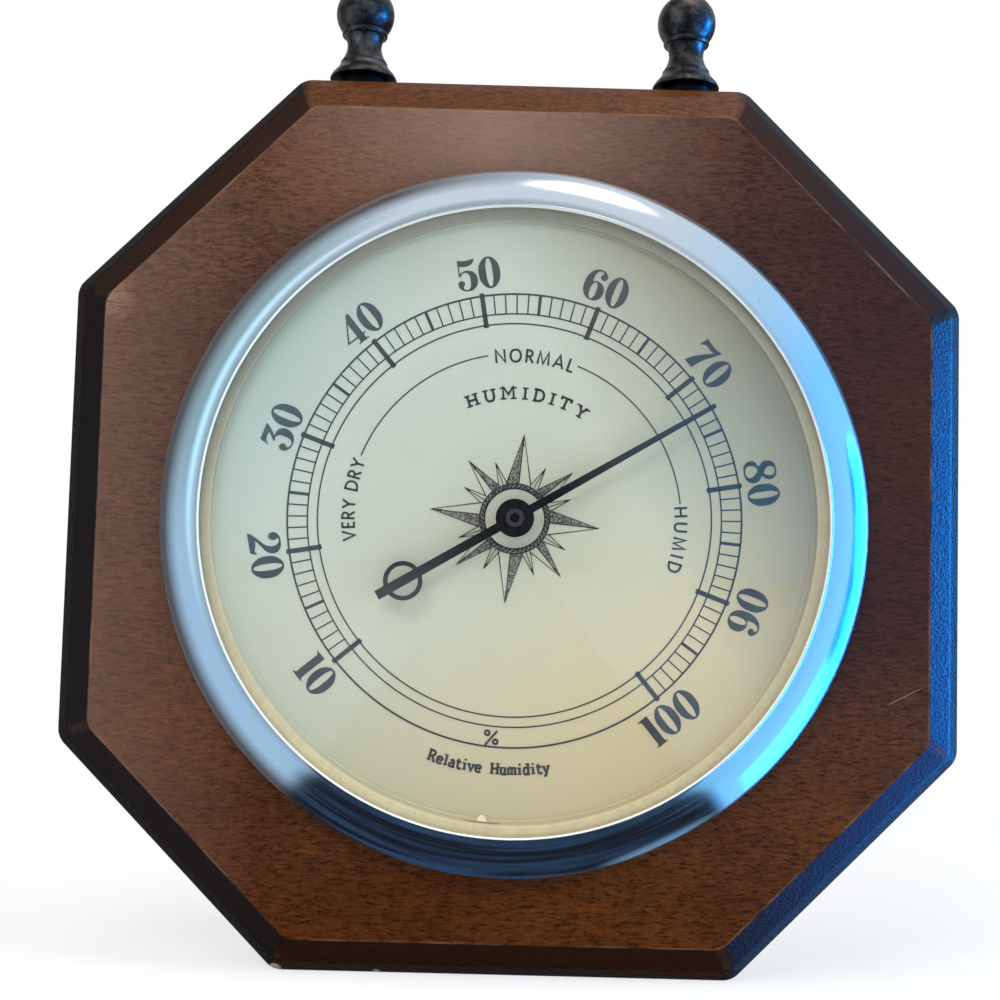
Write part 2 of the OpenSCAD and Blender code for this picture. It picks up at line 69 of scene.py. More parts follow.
# %% [markdown]
# Sizes in this lesson are millimetres, read from the front: x to the right, y up and z towards the
# viewer, with the dial's axis at the origin. Blender works in metres with Z up and the front facing -Y,
# so one small function turns a point of the drawing into a point of the scene.

# %% Millimetres seen from the front
mm = 0.001
dial_turn = math.radians(5.2)
face_z = 19.0


def at(x, y, z):
    """A point of the drawing as a point of the scene."""
    return Vector((x, -z, y)) * mm


def seen(point):
    """A point of the scene as a point of the drawing."""
    return Vector((point.x, point.z, -point.y)) / mm


low, high = (seen(corner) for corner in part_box("plaque"))
print("The plaque is", round(high.x - low.x, 2), "by", round(high.y - low.y, 2), "mm")

# %% [markdown]
# The camera comes early, so that every step can be looked at from the photographer's place. The picture
# was taken by hand from a quarter of a metre away, a little to the left of the middle, a little low and
# with a small roll. The three axes below are the camera's own right, up and backward directions.

# %% Camera
sensor_mm, lens_mm = 36.0, 51.34
camera_place = Vector((-0.003514, -0.251325, -0.012199))
camera_right = Vector((0.99963, -0.00651, 0.02636))
camera_up = Vector((-0.02674, -0.06595, 0.99746))
camera_back = Vector((-0.00476, -0.99780, -0.06610))

bpy.ops.object.camera_add()
camera = bpy.context.object
camera.data.sensor_width = sensor_mm
camera.data.lens = lens_mm
camera.data.clip_start = 0.01
axes = Matrix((camera_right, camera_up, camera_back)).transposed().to_4x4()
camera.matrix_world = Matrix.Translation(camera_place) @ axes
bpy.context.scene.camera = camera
bpy.context.scene.view_settings.view_transform = "Standard"
print("The camera stands", round(camera_place.length, 3), "m from the dial")

# %% [markdown]
# Modelling here is done as by hand: a primitive is added, edited, and finished with modifiers. These
# small helpers keep each step to one line: start an edit, pick edges or faces by where they are, apply
# a modifier, and hand the finished piece over to the frame.

# %% Helpers for modelling
bpy.ops.object.select_all(action="DESELECT")


def only(piece):
    """Make one piece the only selected and active one."""
    bpy.ops.object.select_all(action="DESELECT")
    bpy.context.view_layer.objects.active = piece
    piece.select_set(True)


def begin(piece, mode="VERT"):
    """Open a piece for editing with nothing selected."""
    only(piece)
    bpy.ops.object.mode_set(mode="EDIT")
    bpy.ops.mesh.select_mode(type=mode)
    bpy.ops.mesh.select_all(action="DESELECT")


def end():
    bpy.ops.object.mode_set(mode="OBJECT")


def pick(piece, kind, test):
    """Select the edges or faces whose middle and direction, read from the front, pass a test."""
    form = bmesh.from_edit_mesh(piece.data)
    found = 0
    for part in getattr(form, kind):
        if kind == "faces":
            middle, way = part.calc_center_median(), part.normal
        else:
            first, last = (corner.co for corner in part.verts)
            middle, way = (first + last) / 2, (last - first).normalized()
        if test(seen(middle), seen(way * mm)):
            part.select_set(True)
            found += 1
    bmesh.update_edit_mesh(piece.data)
    return found


def round_over(piece, offset, segments, test):
    """Bevel the edges that pass a test, and say how many they were."""
    bpy.ops.mesh.select_mode(type="EDGE")
    bpy.ops.mesh.select_all(action="DESELECT")
    found = pick(piece, "edges", test)
    bpy.ops.mesh.bevel(offset=offset * mm, segments=segments, affect="EDGES")
    return found


def settle(piece):
    """Leave the piece at the origin, unturned and unscaled, with its place in its mesh."""
    only(piece)
    bpy.ops.object.transform_apply(location=True, rotation=True, scale=True)


def modify(piece, kind, **settings):
    """Add a modifier, set it and apply it."""
    only(piece)
    bpy.ops.object.modifier_add(type=kind)
    modifier = piece.modifiers[-1]
    for name, value in settings.items():
        setattr(modifier, name, value)
    bpy.ops.object.modifier_apply(modifier=modifier.name)


def cut_away(piece, cutter):
    """Subtract one solid from another, as a drill or a router does."""
    modify(piece, "BOOLEAN", operation="DIFFERENCE", solver="EXACT", object=cutter)
    bpy.data.objects.remove(cutter)


def outwards(piece):
    """Merge doubled points and turn every face outwards."""
    begin(piece)
    bpy.ops.mesh.select_all(action="SELECT")
    bpy.ops.mesh.remove_doubles(threshold=0.0005 * mm)
    bpy.ops.mesh.normals_make_consistent(inside=False)
    end()


def smooth(piece, angle):
    only(piece)
    bpy.ops.object.shade_smooth_by_angle(angle=math.radians(angle))


def hand_over(piece, name, body, slot, *stands_for):
    """Name a finished piece, give it to its body and say which CAD pieces it replaces."""
    piece.name = piece.data.name = name
    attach(piece, body)
    if stands_for:
        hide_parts(*stands_for)
    print(name, "has", len(piece.data.polygons), "faces")
    return piece


def block(x, y, z, width, height, depth):
    """A square block whose middle is at x, y, z."""
    bpy.ops.mesh.primitive_cube_add(size=1, location=at(x, y, z))
    piece = bpy.context.object
    piece.scale = Vector((width, depth, height)) * mm
    settle(piece)
    return piece


# %% [markdown]
# ## The plaque
#
# The plaque is one board, cut to an octagon whose four diagonal sides are shorter, with a two-stage
# edge: a steep nose at the outside and a flatter facet up to the face. It starts as a cube of the
# board's size. Bevelling the four edges that run through the board cuts the corners off, and two
# insets raise the moulding, because an inset keeps its distance from every side even where the sides
# differ in length.

# %% Board with its moulding
plaque_w, corner_leg = 148.0, 36.6
nose_run, nose_drop = 1.9, 1.9
facet_run, facet_drop = 4.1, 2.4
side_z = face_z - nose_drop - facet_drop

board = block(0, 0, side_z / 2, plaque_w, plaque_w, side_z)
begin(board)
corners = round_over(board, corner_leg, 1, lambda middle, way: abs(way.z) > 0.99)
bpy.ops.mesh.select_mode(type="FACE")
bpy.ops.mesh.select_all(action="DESELECT")
pick(board, "faces", lambda middle, way: way.z > 0.99)
bpy.ops.mesh.inset(thickness=nose_run * mm, depth=nose_drop * mm)
bpy.ops.mesh.inset(thickness=facet_run * mm, depth=facet_drop * mm)
end()
face_at = max(seen(v.co).z for v in board.data.vertices)
print("Corners cut:", corners, "and the face stands at", round(face_at, 2))

# %% [markdown]
# Real wooden edges are never sharp. Here the corners of the octagon were eased by sanding, and the long
# edges have only a hair's rounding, so that the face ends in a crisp line. Two bevels do that: first the
# edges that run down the corners, then the loops that run round the board. Doing it before the holes are
# cut keeps the bevels regular.

# %% Soften the edges
eased_corner, worn_edge, back_edge = 1.3, 0.3, 0.4
begin(board)
round_over(board, eased_corner, 4, lambda middle, way: abs(way.z) > 0.2)
round_over(board, worn_edge, 3, lambda middle, way: middle.z > 1 and abs(way.z) < 0.01)
round_over(board, back_edge, 2, lambda middle, way: middle.z < 0.01)
end()
print("The softened board has", len(board.data.polygons), "faces")

# %% [markdown]
# The holes follow the frame: the bore that the instrument turns in, the pocket and the shallow recess
# behind the hanger, two nail holes and the two stud holes in the top edge. Each is a cutter that is
# subtracted, as the drill and the router do on the bench.

# %% Bore, pocket and holes
post_x, post_z = 27.9, 9.5
bore_r, bore_run = 46.1, 30
pocket_y, pocket_z, pocket_w, pocket_h, pocket_run = 56.025, 2.5, 26, 9.95, 9
hanger_y, recess_z, recess_w, recess_h, recess_run = 61.5, 0.15, 41, 7.5, 2.3
nail_x, nail_z, nail_hole_r, nail_run = 16.8, 3.15, 0.67, 10.3
stud_y, stud_hole_r, stud_run = 68.0, 1.92, 12.3
through_board = (math.pi / 2, 0.0, 0.0)


def drill(x, y, z, radius, depth, turn=(0.0, 0.0, 0.0), sides=48):
    """A round cutter whose middle is at x, y, z."""
    bpy.ops.mesh.primitive_cylinder_add(
        vertices=sides, radius=radius * mm, depth=depth * mm, location=at(x, y, z), rotation=turn
    )
    settle(bpy.context.object)
    return bpy.context.object


cut_away(board, drill(0, 0, face_z / 2, bore_r, bore_run, through_board, 256))
cut_away(board, block(0, pocket_y, pocket_z, pocket_w, pocket_h, pocket_run))
cut_away(board, block(0, hanger_y, recess_z, recess_w, recess_h, recess_run))
for side in (-1, 1):
    cut_away(board, drill(side * nail_x, hanger_y, nail_z, nail_hole_r, nail_run, through_board, 24))
    cut_away(board, drill(side * post_x, stud_y, post_z, stud_hole_r, stud_run, sides=32))
outwards(board)
smooth(board, 24)
modify(board, "WEIGHTED_NORMAL", keep_sharp=True, weight=80)
hand_over(board, "board", "plaque", "walnut", "plaque")

# %% [markdown]
# ## Turned pieces
#
# The posts, the bezel and the window are all round, so each is an outline spun about an axis. The
# outline starts as one point, extruded from corner to corner like a pencil line, and the spin operator
# sweeps it round. Doubled points at the seam and at the poles are merged afterwards.

# %% Lathe and arcs
def arc(x, y, radius, start, stop, steps):
    """Points on an arc about x, y, from one angle to the other."""
    angles = [math.radians(start + (stop - start) * i / steps) for i in range(steps + 1)]
    return [(x + radius * math.cos(a), y + radius * math.sin(a)) for a in angles]


def lathe(outline, place, center, axis, steps, closed=False):
    """Extrude a point along an outline and spin the line round an axis."""
    points = [place(*point) for point in outline]
    bpy.ops.mesh.primitive_plane_add(size=mm, location=points[0])
    piece = bpy.context.object
    settle(piece)
    begin(piece)
    bpy.ops.mesh.select_all(action="SELECT")
    bpy.ops.mesh.merge(type="CENTER")
    for here, there in zip(points, points[1:]):
        bpy.ops.mesh.extrude_region_move(TRANSFORM_OT_translate={"value": there - here})
    bpy.ops.mesh.select_all(action="SELECT")
    if closed:
        form = bmesh.from_edit_mesh(piece.data)
        ends = [v for v in form.verts if len(v.link_edges) == 1]
        form.edges.new(ends)
        bmesh.update_edit_mesh(piece.data)
        bpy.ops.mesh.select_all(action="SELECT")
    bpy.ops.mesh.spin(steps=steps, angle=2 * math.pi, center=center, axis=axis, use_auto_merge=True)
    end()
    outwards(piece)
    return piece


def front_outline(radius, height):
    """A point of an outline whose axis is the dial's: radius to the right, height towards the viewer."""
    return at(radius, 0, height)


front_axis = {"center": (0, 0, 0), "axis": (0, 1, 0)}
print("An arc of four steps has", len(arc(0, 0, 1, 0, 90, 4)), "points")

# %% [markdown]
# Each post is a small spindle of blackened pewter: a short spigot, a flared foot, a groove, a waist that
# swells up to a collar, and a ball. The outline is the same as the frame's, only finer. The left post is
# turned once and copied to the right, and each has the bore that its stud screws into.

# %% Turned posts
ball_h, ball_r = 13.5, 5.0
flare_r, flare_h, groove_y, groove_r, neck_r = 5.75, 1.9, 4.65, 3.95, 2.95
collar_r, collar_h = 3.92, 0.95
ball_join = math.degrees(math.acos(collar_r / ball_r))
collar_top = ball_h - ball_r * math.sin(math.radians(ball_join))
collar_low = collar_top - collar_h
waist_low, waist_at, waist_steps = groove_y + 0.15, 0.6, 20


def waist(i):
    """A point of the waist, i steps up from its foot."""
    t = i / waist_steps
    height = waist_low + (collar_low - waist_low) * i / waist_steps
    if t < waist_at:
        return neck_r + (groove_r + 0.1 - neck_r) * (1 - t / waist_at) ** 1.8, height
    return neck_r + (collar_r - 0.6 - neck_r) * ((t - waist_at) / (1 - waist_at)) ** 2, height


post_outline = (
    [(0, 7.5), (stud_hole_r, 7.5), (stud_hole_r, 0), (4.1, 0), (4.25, 0.15)]
    + [(4.25, 1.5), (4.32, 1.57), (5.5, 1.75)]
    + arc(flare_r - 0.15, flare_h, 0.15, -80, 20, 5)
    + arc(flare_r - 3.2, flare_h - 1.1, 3.4, 22, 46, 10)
    + [(4.75, 3.4), (4.4, 3.85), (4.17, 4.25), (4.07, 4.5), (3.99, 4.56), (3.97, 4.64), (4.02, 4.74)]
    + [waist(i) for i in range(waist_steps)]
    + [(3.4, collar_low), (3.62, collar_low), (3.78, collar_low + 0.06), (3.89, collar_low + 0.2)]
    + [(3.93, collar_low + 0.4), (3.92, collar_top - 0.3)]
    + [(3.86, collar_top - 0.12), (3.85, collar_top - 0.04)]
    + arc(0, ball_h, ball_r, -38, 90, 30)
)
post_foot = plaque_w / 2 + 0.05


def post_place(radius, height):
    return at(radius - post_x, post_foot + height, post_z)


left_post = lathe(post_outline, post_place, at(-post_x, 0, post_z), (0, 0, 1), 96)
smooth(left_post, 35)
only(left_post)
bpy.ops.object.duplicate()
right_post = bpy.context.object
right_post.location.x = 2 * post_x * mm
settle(right_post)
hand_over(left_post, "turned_post_left", "plaque", "post_black", "post_left")
hand_over(right_post, "turned_post_right", "plaque", "post_black", "post_right")

# %% [markdown]
# The bezel is spun from thin sheet: a hem lies on the board, the outer edge rolls up, a curved strip
# climbs to a crease, and a wide rounded band rises to a thin rolled bead that holds the window. Polished
# metal shows every facet, so this outline has many more points than the frame's, and 256 spin steps.

# %% Bezel
bezel_r, window_r = 57.15, 50.25
bezel_low, bezel_h = face_z + 0.05, 6.05
strip_run, strip_top, strip_foot, roll_r = 3.15, 30, 43, 0.95
crease_r, crease_h, bulge, bead_r, sheet_t, hem_t = bezel_r - strip_run, 4.8, 0.22, 0.3, 0.7, 0.55
bead_x, bead_z = window_r + bead_r, face_z + bezel_h - bead_r
rise = math.sin(math.radians(strip_foot)) - math.sin(math.radians(strip_top))
strip_r = (strip_run - roll_r * (1 - math.sin(math.radians(strip_foot)))) / rise
strip_x = crease_r - strip_r * math.sin(math.radians(strip_top))
strip_z = face_z + crease_h - strip_r * math.cos(math.radians(strip_top))
roll_x = bezel_r - roll_r
roll_z = strip_z + (strip_r - roll_r) * math.cos(math.radians(strip_foot))
groove_x, groove_h = bead_x + bead_r * 0.8, bezel_h - 0.2


def band(t):
    """A point of the wide band, t from the crease to the groove."""
    height = face_z + crease_h + (groove_h - crease_h) * t + bulge * math.sin(math.pi * t)
    return crease_r + (groove_x - crease_r) * t, height


bezel_outline = (
    [(bezel_r - 2.55, bezel_low), (bezel_r - 0.4, bezel_low)]
    + arc(bezel_r - 0.4, bezel_low + 0.4, 0.4, -75, 0, 5)
    + arc(roll_x, roll_z, roll_r, 0, 90 - strip_foot, 10)
    + arc(strip_x, strip_z, strip_r, 88 - strip_foot, 90 - strip_top, 16)
    + [band(i / 24) for i in range(1, 25)]
    + arc(bead_x, bead_z, bead_r, 35, 270, 28)
    + [(51.5, bead_z - bead_r + 0.02)]
    + arc(strip_x, strip_z, strip_r - sheet_t, 90 - strip_top, 90 - strip_foot, 8)
    + [(bezel_r - sheet_t, roll_z), (bezel_r - sheet_t, bezel_low + hem_t)]
    + [(bezel_r - 2.55, bezel_low + hem_t)]
)
bezel = lathe(bezel_outline, front_outline, steps=256, closed=True, **front_axis)
smooth(bezel, 30)
hand_over(bezel, "spun_bezel", "instrument", "bezel_chrome", "bezel")

# %% [markdown]
# The window is one clear moulding: a dome of even thickness with a flat flange under the bead. Where
# the dome meets the flange the mould leaves small rounds, and these draw the thin pale rings that show
# all round the edge of the real window. The inside is part of the outline, so the wall has two faces.

# %% Window
dome_r, dome_in_r, flange_r = 47.9, 47.2, 51.2
flange_low, flange_top, dome_top, lens_t = 23.0, 24.0, 31.2, 1.5
dome_steps = 40


def cap(radius, rim, low_z, top_z):
    """A point at a radius on a round cap that rises from its rim at low_z to top_z."""
    ball = (rim * rim + (top_z - low_z) ** 2) / (2 * (top_z - low_z))
    return radius, top_z - ball + math.sqrt(ball * ball - radius * radius)


def dome(rim, low_z, top_z):
    """Points of a cap from its top nearly to its rim."""
    return [cap(rim * i / dome_steps, rim, low_z, top_z) for i in range(dome_steps)]


window_outline = (
    dome(dome_in_r, flange_low, dome_top - lens_t)
    + [(47.05, 23.06), (47.15, 23.01), (47.3, flange_low), (flange_r - 0.1, flange_low)]
    + [(flange_r, flange_low + 0.1), (flange_r, flange_top - 0.1), (flange_r - 0.1, flange_top)]
    + [(49.2, flange_top), (49.05, 24.12), (48.85, 24.12), (48.7, flange_top), (48.5, flange_top)]
    + [(48.3, 24.02), (48.1, 24.06), (47.95, 24.12), (47.8, 24.19), cap(47.6, dome_r, flange_top, dome_top)]
    + dome(dome_r, flange_top, dome_top)[::-1]
)
window = lathe(window_outline, front_outline, steps=192, **front_axis)
smooth(window, 30)
hand_over(window, "domed_window", "instrument", "lens_clear", "lens")

# %% [markdown]
# ## What is printed on the dial
#
# The dial is printed in one dark ink: a scale from 10 to 100, words for the ranges, a traditional
# compass rose and bold numerals. Printed ink could be painted by a texture, but shapes stay sharp at any
# distance and stay in the model, so each mark is a very thin sheet lying on the dial. All marks are
# drawn flat, in millimetres about the dial's middle, then laid down, turned with the dial and thickened.

# %% Laying print on the dial
dial_face, ink_t = 22.4, 0.05


def flat_shape(points):
    """A flat face with these corners, from a round one with as many."""
    bpy.ops.mesh.primitive_circle_add(vertices=len(points), radius=1, fill_type="NGON")
    shape = bpy.context.object
    for vertex, (x, y) in zip(shape.data.vertices, points):
        vertex.co = (x, y, 0)
    return shape


def polar(radius, angle):
    """A point at a radius and an angle in degrees, clockwise from the top of the dial."""
    return radius * math.sin(math.radians(angle)), radius * math.cos(math.radians(angle))


def stroke(start, stop, width_start, width_stop=None):
    """A straight pen stroke between two points."""
    (x0, y0), (x1, y1) = start, stop
    length = math.hypot(x1 - x0, y1 - y0)
    across = Vector(((y0 - y1) / length, (x1 - x0) / length))
    a, b = across * width_start / 2, across * (width_start if width_stop is None else width_stop) / 2
    corners = [(x0 - a.x, y0 - a.y), (x1 - b.x, y1 - b.y), (x1 + b.x, y1 + b.y), (x0 + a.x, y0 + a.y)]
    return flat_shape(corners)


def ring_shape(radius, width, start=0.0, stop=360.0):
    """A thin circle, or a part of one clockwise from start to stop."""
    steps = max(8, round((stop - start) * radius / 18))
    inner, outer = radius - width / 2, radius + width / 2
    angles = [start + (stop - start) * i / steps for i in range(steps + 1)]
    if stop - start < 360:
        return flat_shape([polar(outer, a) for a in angles] + [polar(inner, a) for a in reversed(angles)])
    bpy.ops.mesh.primitive_circle_add(vertices=steps, radius=outer)
    bpy.ops.object.mode_set(mode="EDIT")
    bpy.ops.mesh.select_all(action="SELECT")
    bpy.ops.mesh.extrude_edges_move()
    bpy.ops.transform.resize(value=(inner / outer, inner / outer, 1))
    end()
    return bpy.context.object


def gather(shapes):
    """Join flat shapes into one object."""
    bpy.ops.object.select_all(action="DESELECT")
    for shape in shapes:
        shape.select_set(True)
    bpy.context.view_layer.objects.active = shapes[0]
    if len(shapes) > 1:
        bpy.ops.object.join()
    return bpy.context.object


def put(shape, x, y, turn=0.0):
    """Move and turn a flat shape, and settle it there."""
    shape.location = (x, y, 0)
    shape.rotation_euler.z = turn
    settle(shape)
    return shape


def set_round(shape, radius, angle, tops_out=True):
    """Stand a flat shape on a circle of the dial, its top pointing out or in."""
    return put(shape, *polar(radius, angle), -math.radians(angle) + (0 if tops_out else math.pi))


def lay_down(shape, name, level=0.0, slot="hand_black"):
    """Lay a flat drawing on the dial, turned with it, as a thin sheet of ink."""
    settle(shape)
    begin(shape, "FACE")
    bpy.ops.mesh.select_all(action="SELECT")
    form = bmesh.from_edit_mesh(shape.data)
    bmesh.ops.recalc_face_normals(form, faces=form.faces)
    for face in form.faces:
        if face.normal.z < 0:
            face.normal_flip()
    bmesh.update_edit_mesh(shape.data)
    end()
    shape.scale = (mm, mm, mm)
    shape.rotation_euler = (math.pi / 2, 0, 0)
    settle(shape)
    shape.rotation_euler = (0, dial_turn, 0)
    shape.location = at(0, 0, dial_face + 0.005 + level)
    settle(shape)
    modify(shape, "SOLIDIFY", thickness=ink_t * mm, offset=1)
    return hand_over(shape, name, "instrument", slot)


print("A tick of 3 mm starts at", [round(v, 2) for v in polar(33.1, 45)])

# %% [markdown]
# The scale is three circles with ticks between them: a thin tick for each unit, a thicker one for each
# five and a bold one for each ten. One unit is three degrees, and 55 stands at the top. Each tick is one
# flat stroke, copied round the dial.

# %% Scale
unit_angle, middle_reading = 3.0, 55
scale_out, scale_in, scale_low, range_ring = 36.33, 33.1, 31.5, 26.6


def angle_of(value):
    """Where a reading stands, in degrees clockwise from the top."""
    return (value - middle_reading) * unit_angle


marks = [ring_shape(scale_out, 0.3), ring_shape(scale_in, 0.22), ring_shape(scale_low, 0.22)]
for value in range(10, 101):
    inside, outside, width = scale_in, scale_out, 0.21
    if value % 10 == 0:
        inside, outside, width = 31.1, 36.8, 0.77
    elif value % 5 == 0:
        width = 0.49
    marks.append(stroke(polar(inside, angle_of(value)), polar(outside, angle_of(value)), width))
marks += [ring_shape(range_ring, 0.2, -74.3, -15.8), ring_shape(range_ring, 0.2, 15.8, 78.2)]
lay_down(gather(marks), "dial_scale")

# %% [markdown]
# The numerals are bold figures with thick stems, hairlines and ball ends, as engravers drew them. They
# are drawn here as outlines one unit high: a plain point is passed through smoothly and a point with a
# third value is a sharp corner. Blender's curves fill the space between an outline and its counters.

# %% Numerals
FIGURES = {
    "0": (0.68, [
        [(0.34, 1.01), (0.58, 0.86), (0.68, 0.5), (0.58, 0.14), (0.34, -0.01), (0.10, 0.14), (0, 0.5),
         (0.10, 0.86)],
        [(0.34, 0.95), (0.415, 0.82), (0.44, 0.5), (0.415, 0.18), (0.34, 0.05), (0.265, 0.18),
         (0.24, 0.5), (0.265, 0.82)],
    ]),
    "1": (0.39, [[
        (0.335, 1.0, 0), (0.335, 0.12, 0), (0.355, 0.055), (0.41, 0.04, 0), (0.41, 0, 0), (0.0, 0, 0),
        (0.0, 0.04, 0), (0.07, 0.055), (0.09, 0.12, 0), (0.09, 0.9, 0), (0.06, 0.935),
          (-0.01, 0.955, 0), (-0.01, 0.985, 0),
    ]]),
    "2": (0.72, [[
        (0.06, 0.76), (0.12, 0.92), (0.37, 1.01), (0.64, 0.92), (0.72, 0.74), (0.63, 0.53), (0.42, 0.36),
        (0.25, 0.215, 0), (0.42, 0.21), (0.58, 0.17), (0.655, 0.22, 0), (0.70, 0.22, 0),
          (0.62, 0.02, 0), (0, 0, 0),
        (0.02, 0.09, 0), (0.2, 0.29), (0.41, 0.5), (0.485, 0.7), (0.45, 0.88), (0.34, 0.95),
          (0.25, 0.925, 0),
        (0.31, 0.81), (0.26, 0.68), (0.15, 0.64),
    ]]),
    "3": (0.67, [[
        (0.08, 0.99, 0), (0.62, 1.0, 0), (0.6, 0.93), (0.35, 0.62, 0), (0.53, 0.6), (0.66, 0.45),
          (0.665, 0.26),
        (0.55, 0.07), (0.32, -0.01), (0.11, 0.05), (0.0, 0.22), (0.06, 0.35), (0.17, 0.34),
          (0.22, 0.23), (0.15, 0.12),
        (0.2, 0.06), (0.3, 0.04), (0.39, 0.1), (0.435, 0.3), (0.4, 0.5), (0.31, 0.57), (0.19, 0.55, 0),
          (0.18, 0.59, 0),
        (0.4, 0.82, 0), (0.2, 0.83), (0.09, 0.78), (0.045, 0.7, 0), (0.02, 0.71, 0),
    ]]),
    "4": (0.67, [
        [
            (0.59, 1.0, 0), (0.49, 1.0, 0), (0.0, 0.235, 0), (0.0, 0.19, 0), (0.37, 0.19, 0),
          (0.37, 0.08, 0), (0.35, 0.045),
            (0.29, 0.035, 0), (0.29, 0, 0), (0.67, 0, 0), (0.67, 0.035, 0), (0.61, 0.045),
          (0.59, 0.08, 0), (0.59, 0.19, 0),
            (0.67, 0.19, 0), (0.67, 0.235, 0), (0.59, 0.235, 0),
        ],
        [(0.37, 0.235, 0), (0.06, 0.235, 0), (0.37, 0.73, 0)],
    ]),
    "5": (0.62, [[
        (0.05, 1.0, 0), (0.3, 0.965), (0.59, 1.01, 0), (0.52, 0.86), (0.36, 0.785), (0.09, 0.8, 0),
          (0.09, 0.57, 0),
        (0.2, 0.63), (0.36, 0.645), (0.54, 0.56), (0.625, 0.33), (0.54, 0.09), (0.29, -0.01),
          (0.09, 0.06), (0.0, 0.21),
        (0.05, 0.33), (0.15, 0.33), (0.21, 0.24), (0.15, 0.12), (0.2, 0.055), (0.29, 0.04),
          (0.37, 0.12), (0.395, 0.33),
        (0.36, 0.52), (0.27, 0.59), (0.16, 0.56), (0.09, 0.47), (0.05, 0.47, 0),
    ]]),
    "6": (0.68, [
        [
            (0.39, 1.01), (0.58, 0.94), (0.645, 0.82), (0.58, 0.71), (0.47, 0.72), (0.425, 0.81),
          (0.485, 0.91), (0.44, 0.955),
            (0.37, 0.96), (0.27, 0.86), (0.24, 0.7), (0.245, 0.57, 0), (0.32, 0.61), (0.43, 0.615),
          (0.6, 0.53), (0.68, 0.31),
            (0.58, 0.07), (0.35, -0.01), (0.1, 0.11), (0, 0.46), (0.07, 0.79), (0.22, 0.96),
        ],
        [(0.345, 0.57), (0.42, 0.48), (0.44, 0.3), (0.42, 0.12), (0.345, 0.035), (0.265, 0.12),
         (0.24, 0.3), (0.265, 0.48)],
    ]),
    "7": (0.69, [[
        (0.05, 0.985, 0), (0.2, 0.965), (0.5, 0.97), (0.62, 1.01, 0), (0.69, 1.01, 0), (0.56, 0.66),
          (0.45, 0.34), (0.42, 0, 0),
        (0.09, 0, 0), (0.16, 0.22), (0.32, 0.53), (0.52, 0.82, 0), (0.35, 0.8), (0.15, 0.8),
          (0.05, 0.69, 0), (0.01, 0.7, 0),
    ]]),
    "8": (0.7, [
        [
            (0.35, 1.01), (0.56, 0.95), (0.645, 0.77), (0.58, 0.61), (0.52, 0.54), (0.64, 0.44),
          (0.7, 0.25), (0.6, 0.06),
            (0.35, -0.01), (0.09, 0.05), (0, 0.23), (0.06, 0.39), (0.19, 0.48), (0.09, 0.58),
          (0.045, 0.74), (0.13, 0.94),
        ],
        [(0.385, 0.955), (0.49, 0.9), (0.515, 0.77), (0.42, 0.62), (0.3, 0.68), (0.235, 0.8),
         (0.275, 0.92)],
        [(0.3, 0.42), (0.45, 0.32), (0.525, 0.17), (0.46, 0.07), (0.33, 0.04), (0.2, 0.08),
         (0.15, 0.22), (0.195, 0.35)],
    ]),
}
FIGURES["9"] = (0.68, [[(0.68 - p[0], 1 - p[1], *p[2:]) for p in line] for line in FIGURES["6"][1]])
figure_h, figure_gap, figure_ring = 5.15, 0.055, 40.07


def filled(outlines, scale):
    """A flat face bounded by smooth outlines, from a filled curve."""
    curve = bpy.data.curves.new("figure", "CURVE")
    curve.dimensions, curve.fill_mode, curve.resolution_u = "2D", "BOTH", 6
    for outline in outlines:
        line = curve.splines.new("BEZIER")
        line.bezier_points.add(len(outline) - 1)
        line.use_cyclic_u = True
        for point, (x, y, *sharp) in zip(line.bezier_points, outline):
            point.co = (x * scale, y * scale, 0)
            point.handle_left_type = point.handle_right_type = "VECTOR" if sharp else "AUTO"
    shape = bpy.data.objects.new("figure", curve)
    bpy.context.scene.collection.objects.link(shape)
    only(shape)
    bpy.ops.object.convert(target="MESH")
    return bpy.context.object


def numeral(text, angle, tops_out):
    """A number centred on an angle of the dial, its tops pointing out or in."""
    width = sum(FIGURES[c][0] for c in text) + figure_gap * (len(text) - 1)
    shapes, x = [], -width / 2
    for c in text:
        shapes.append(put(filled(FIGURES[c][1], figure_h), x * figure_h, -figure_h / 2))
        x += FIGURES[c][0] + figure_gap
    return set_round(gather(shapes), figure_ring, angle, tops_out)


numbers = [numeral(str(value), angle_of(value), 30 <= value <= 80) for value in range(10, 101, 10)]
lay_down(gather(numbers), "dial_numerals")

# %% [markdown]
# The words are drawn letter by letter with a pen of even width, because the fonts that come with
# Blender are too thin for them. The range words are plain capitals. The two larger lines are set in a
# typewriter face, with slabs at the ends of its strokes. Each letter has a width, straight lines, curves
# that pass smoothly through their points, and the places of its slabs. A capital is one unit high.

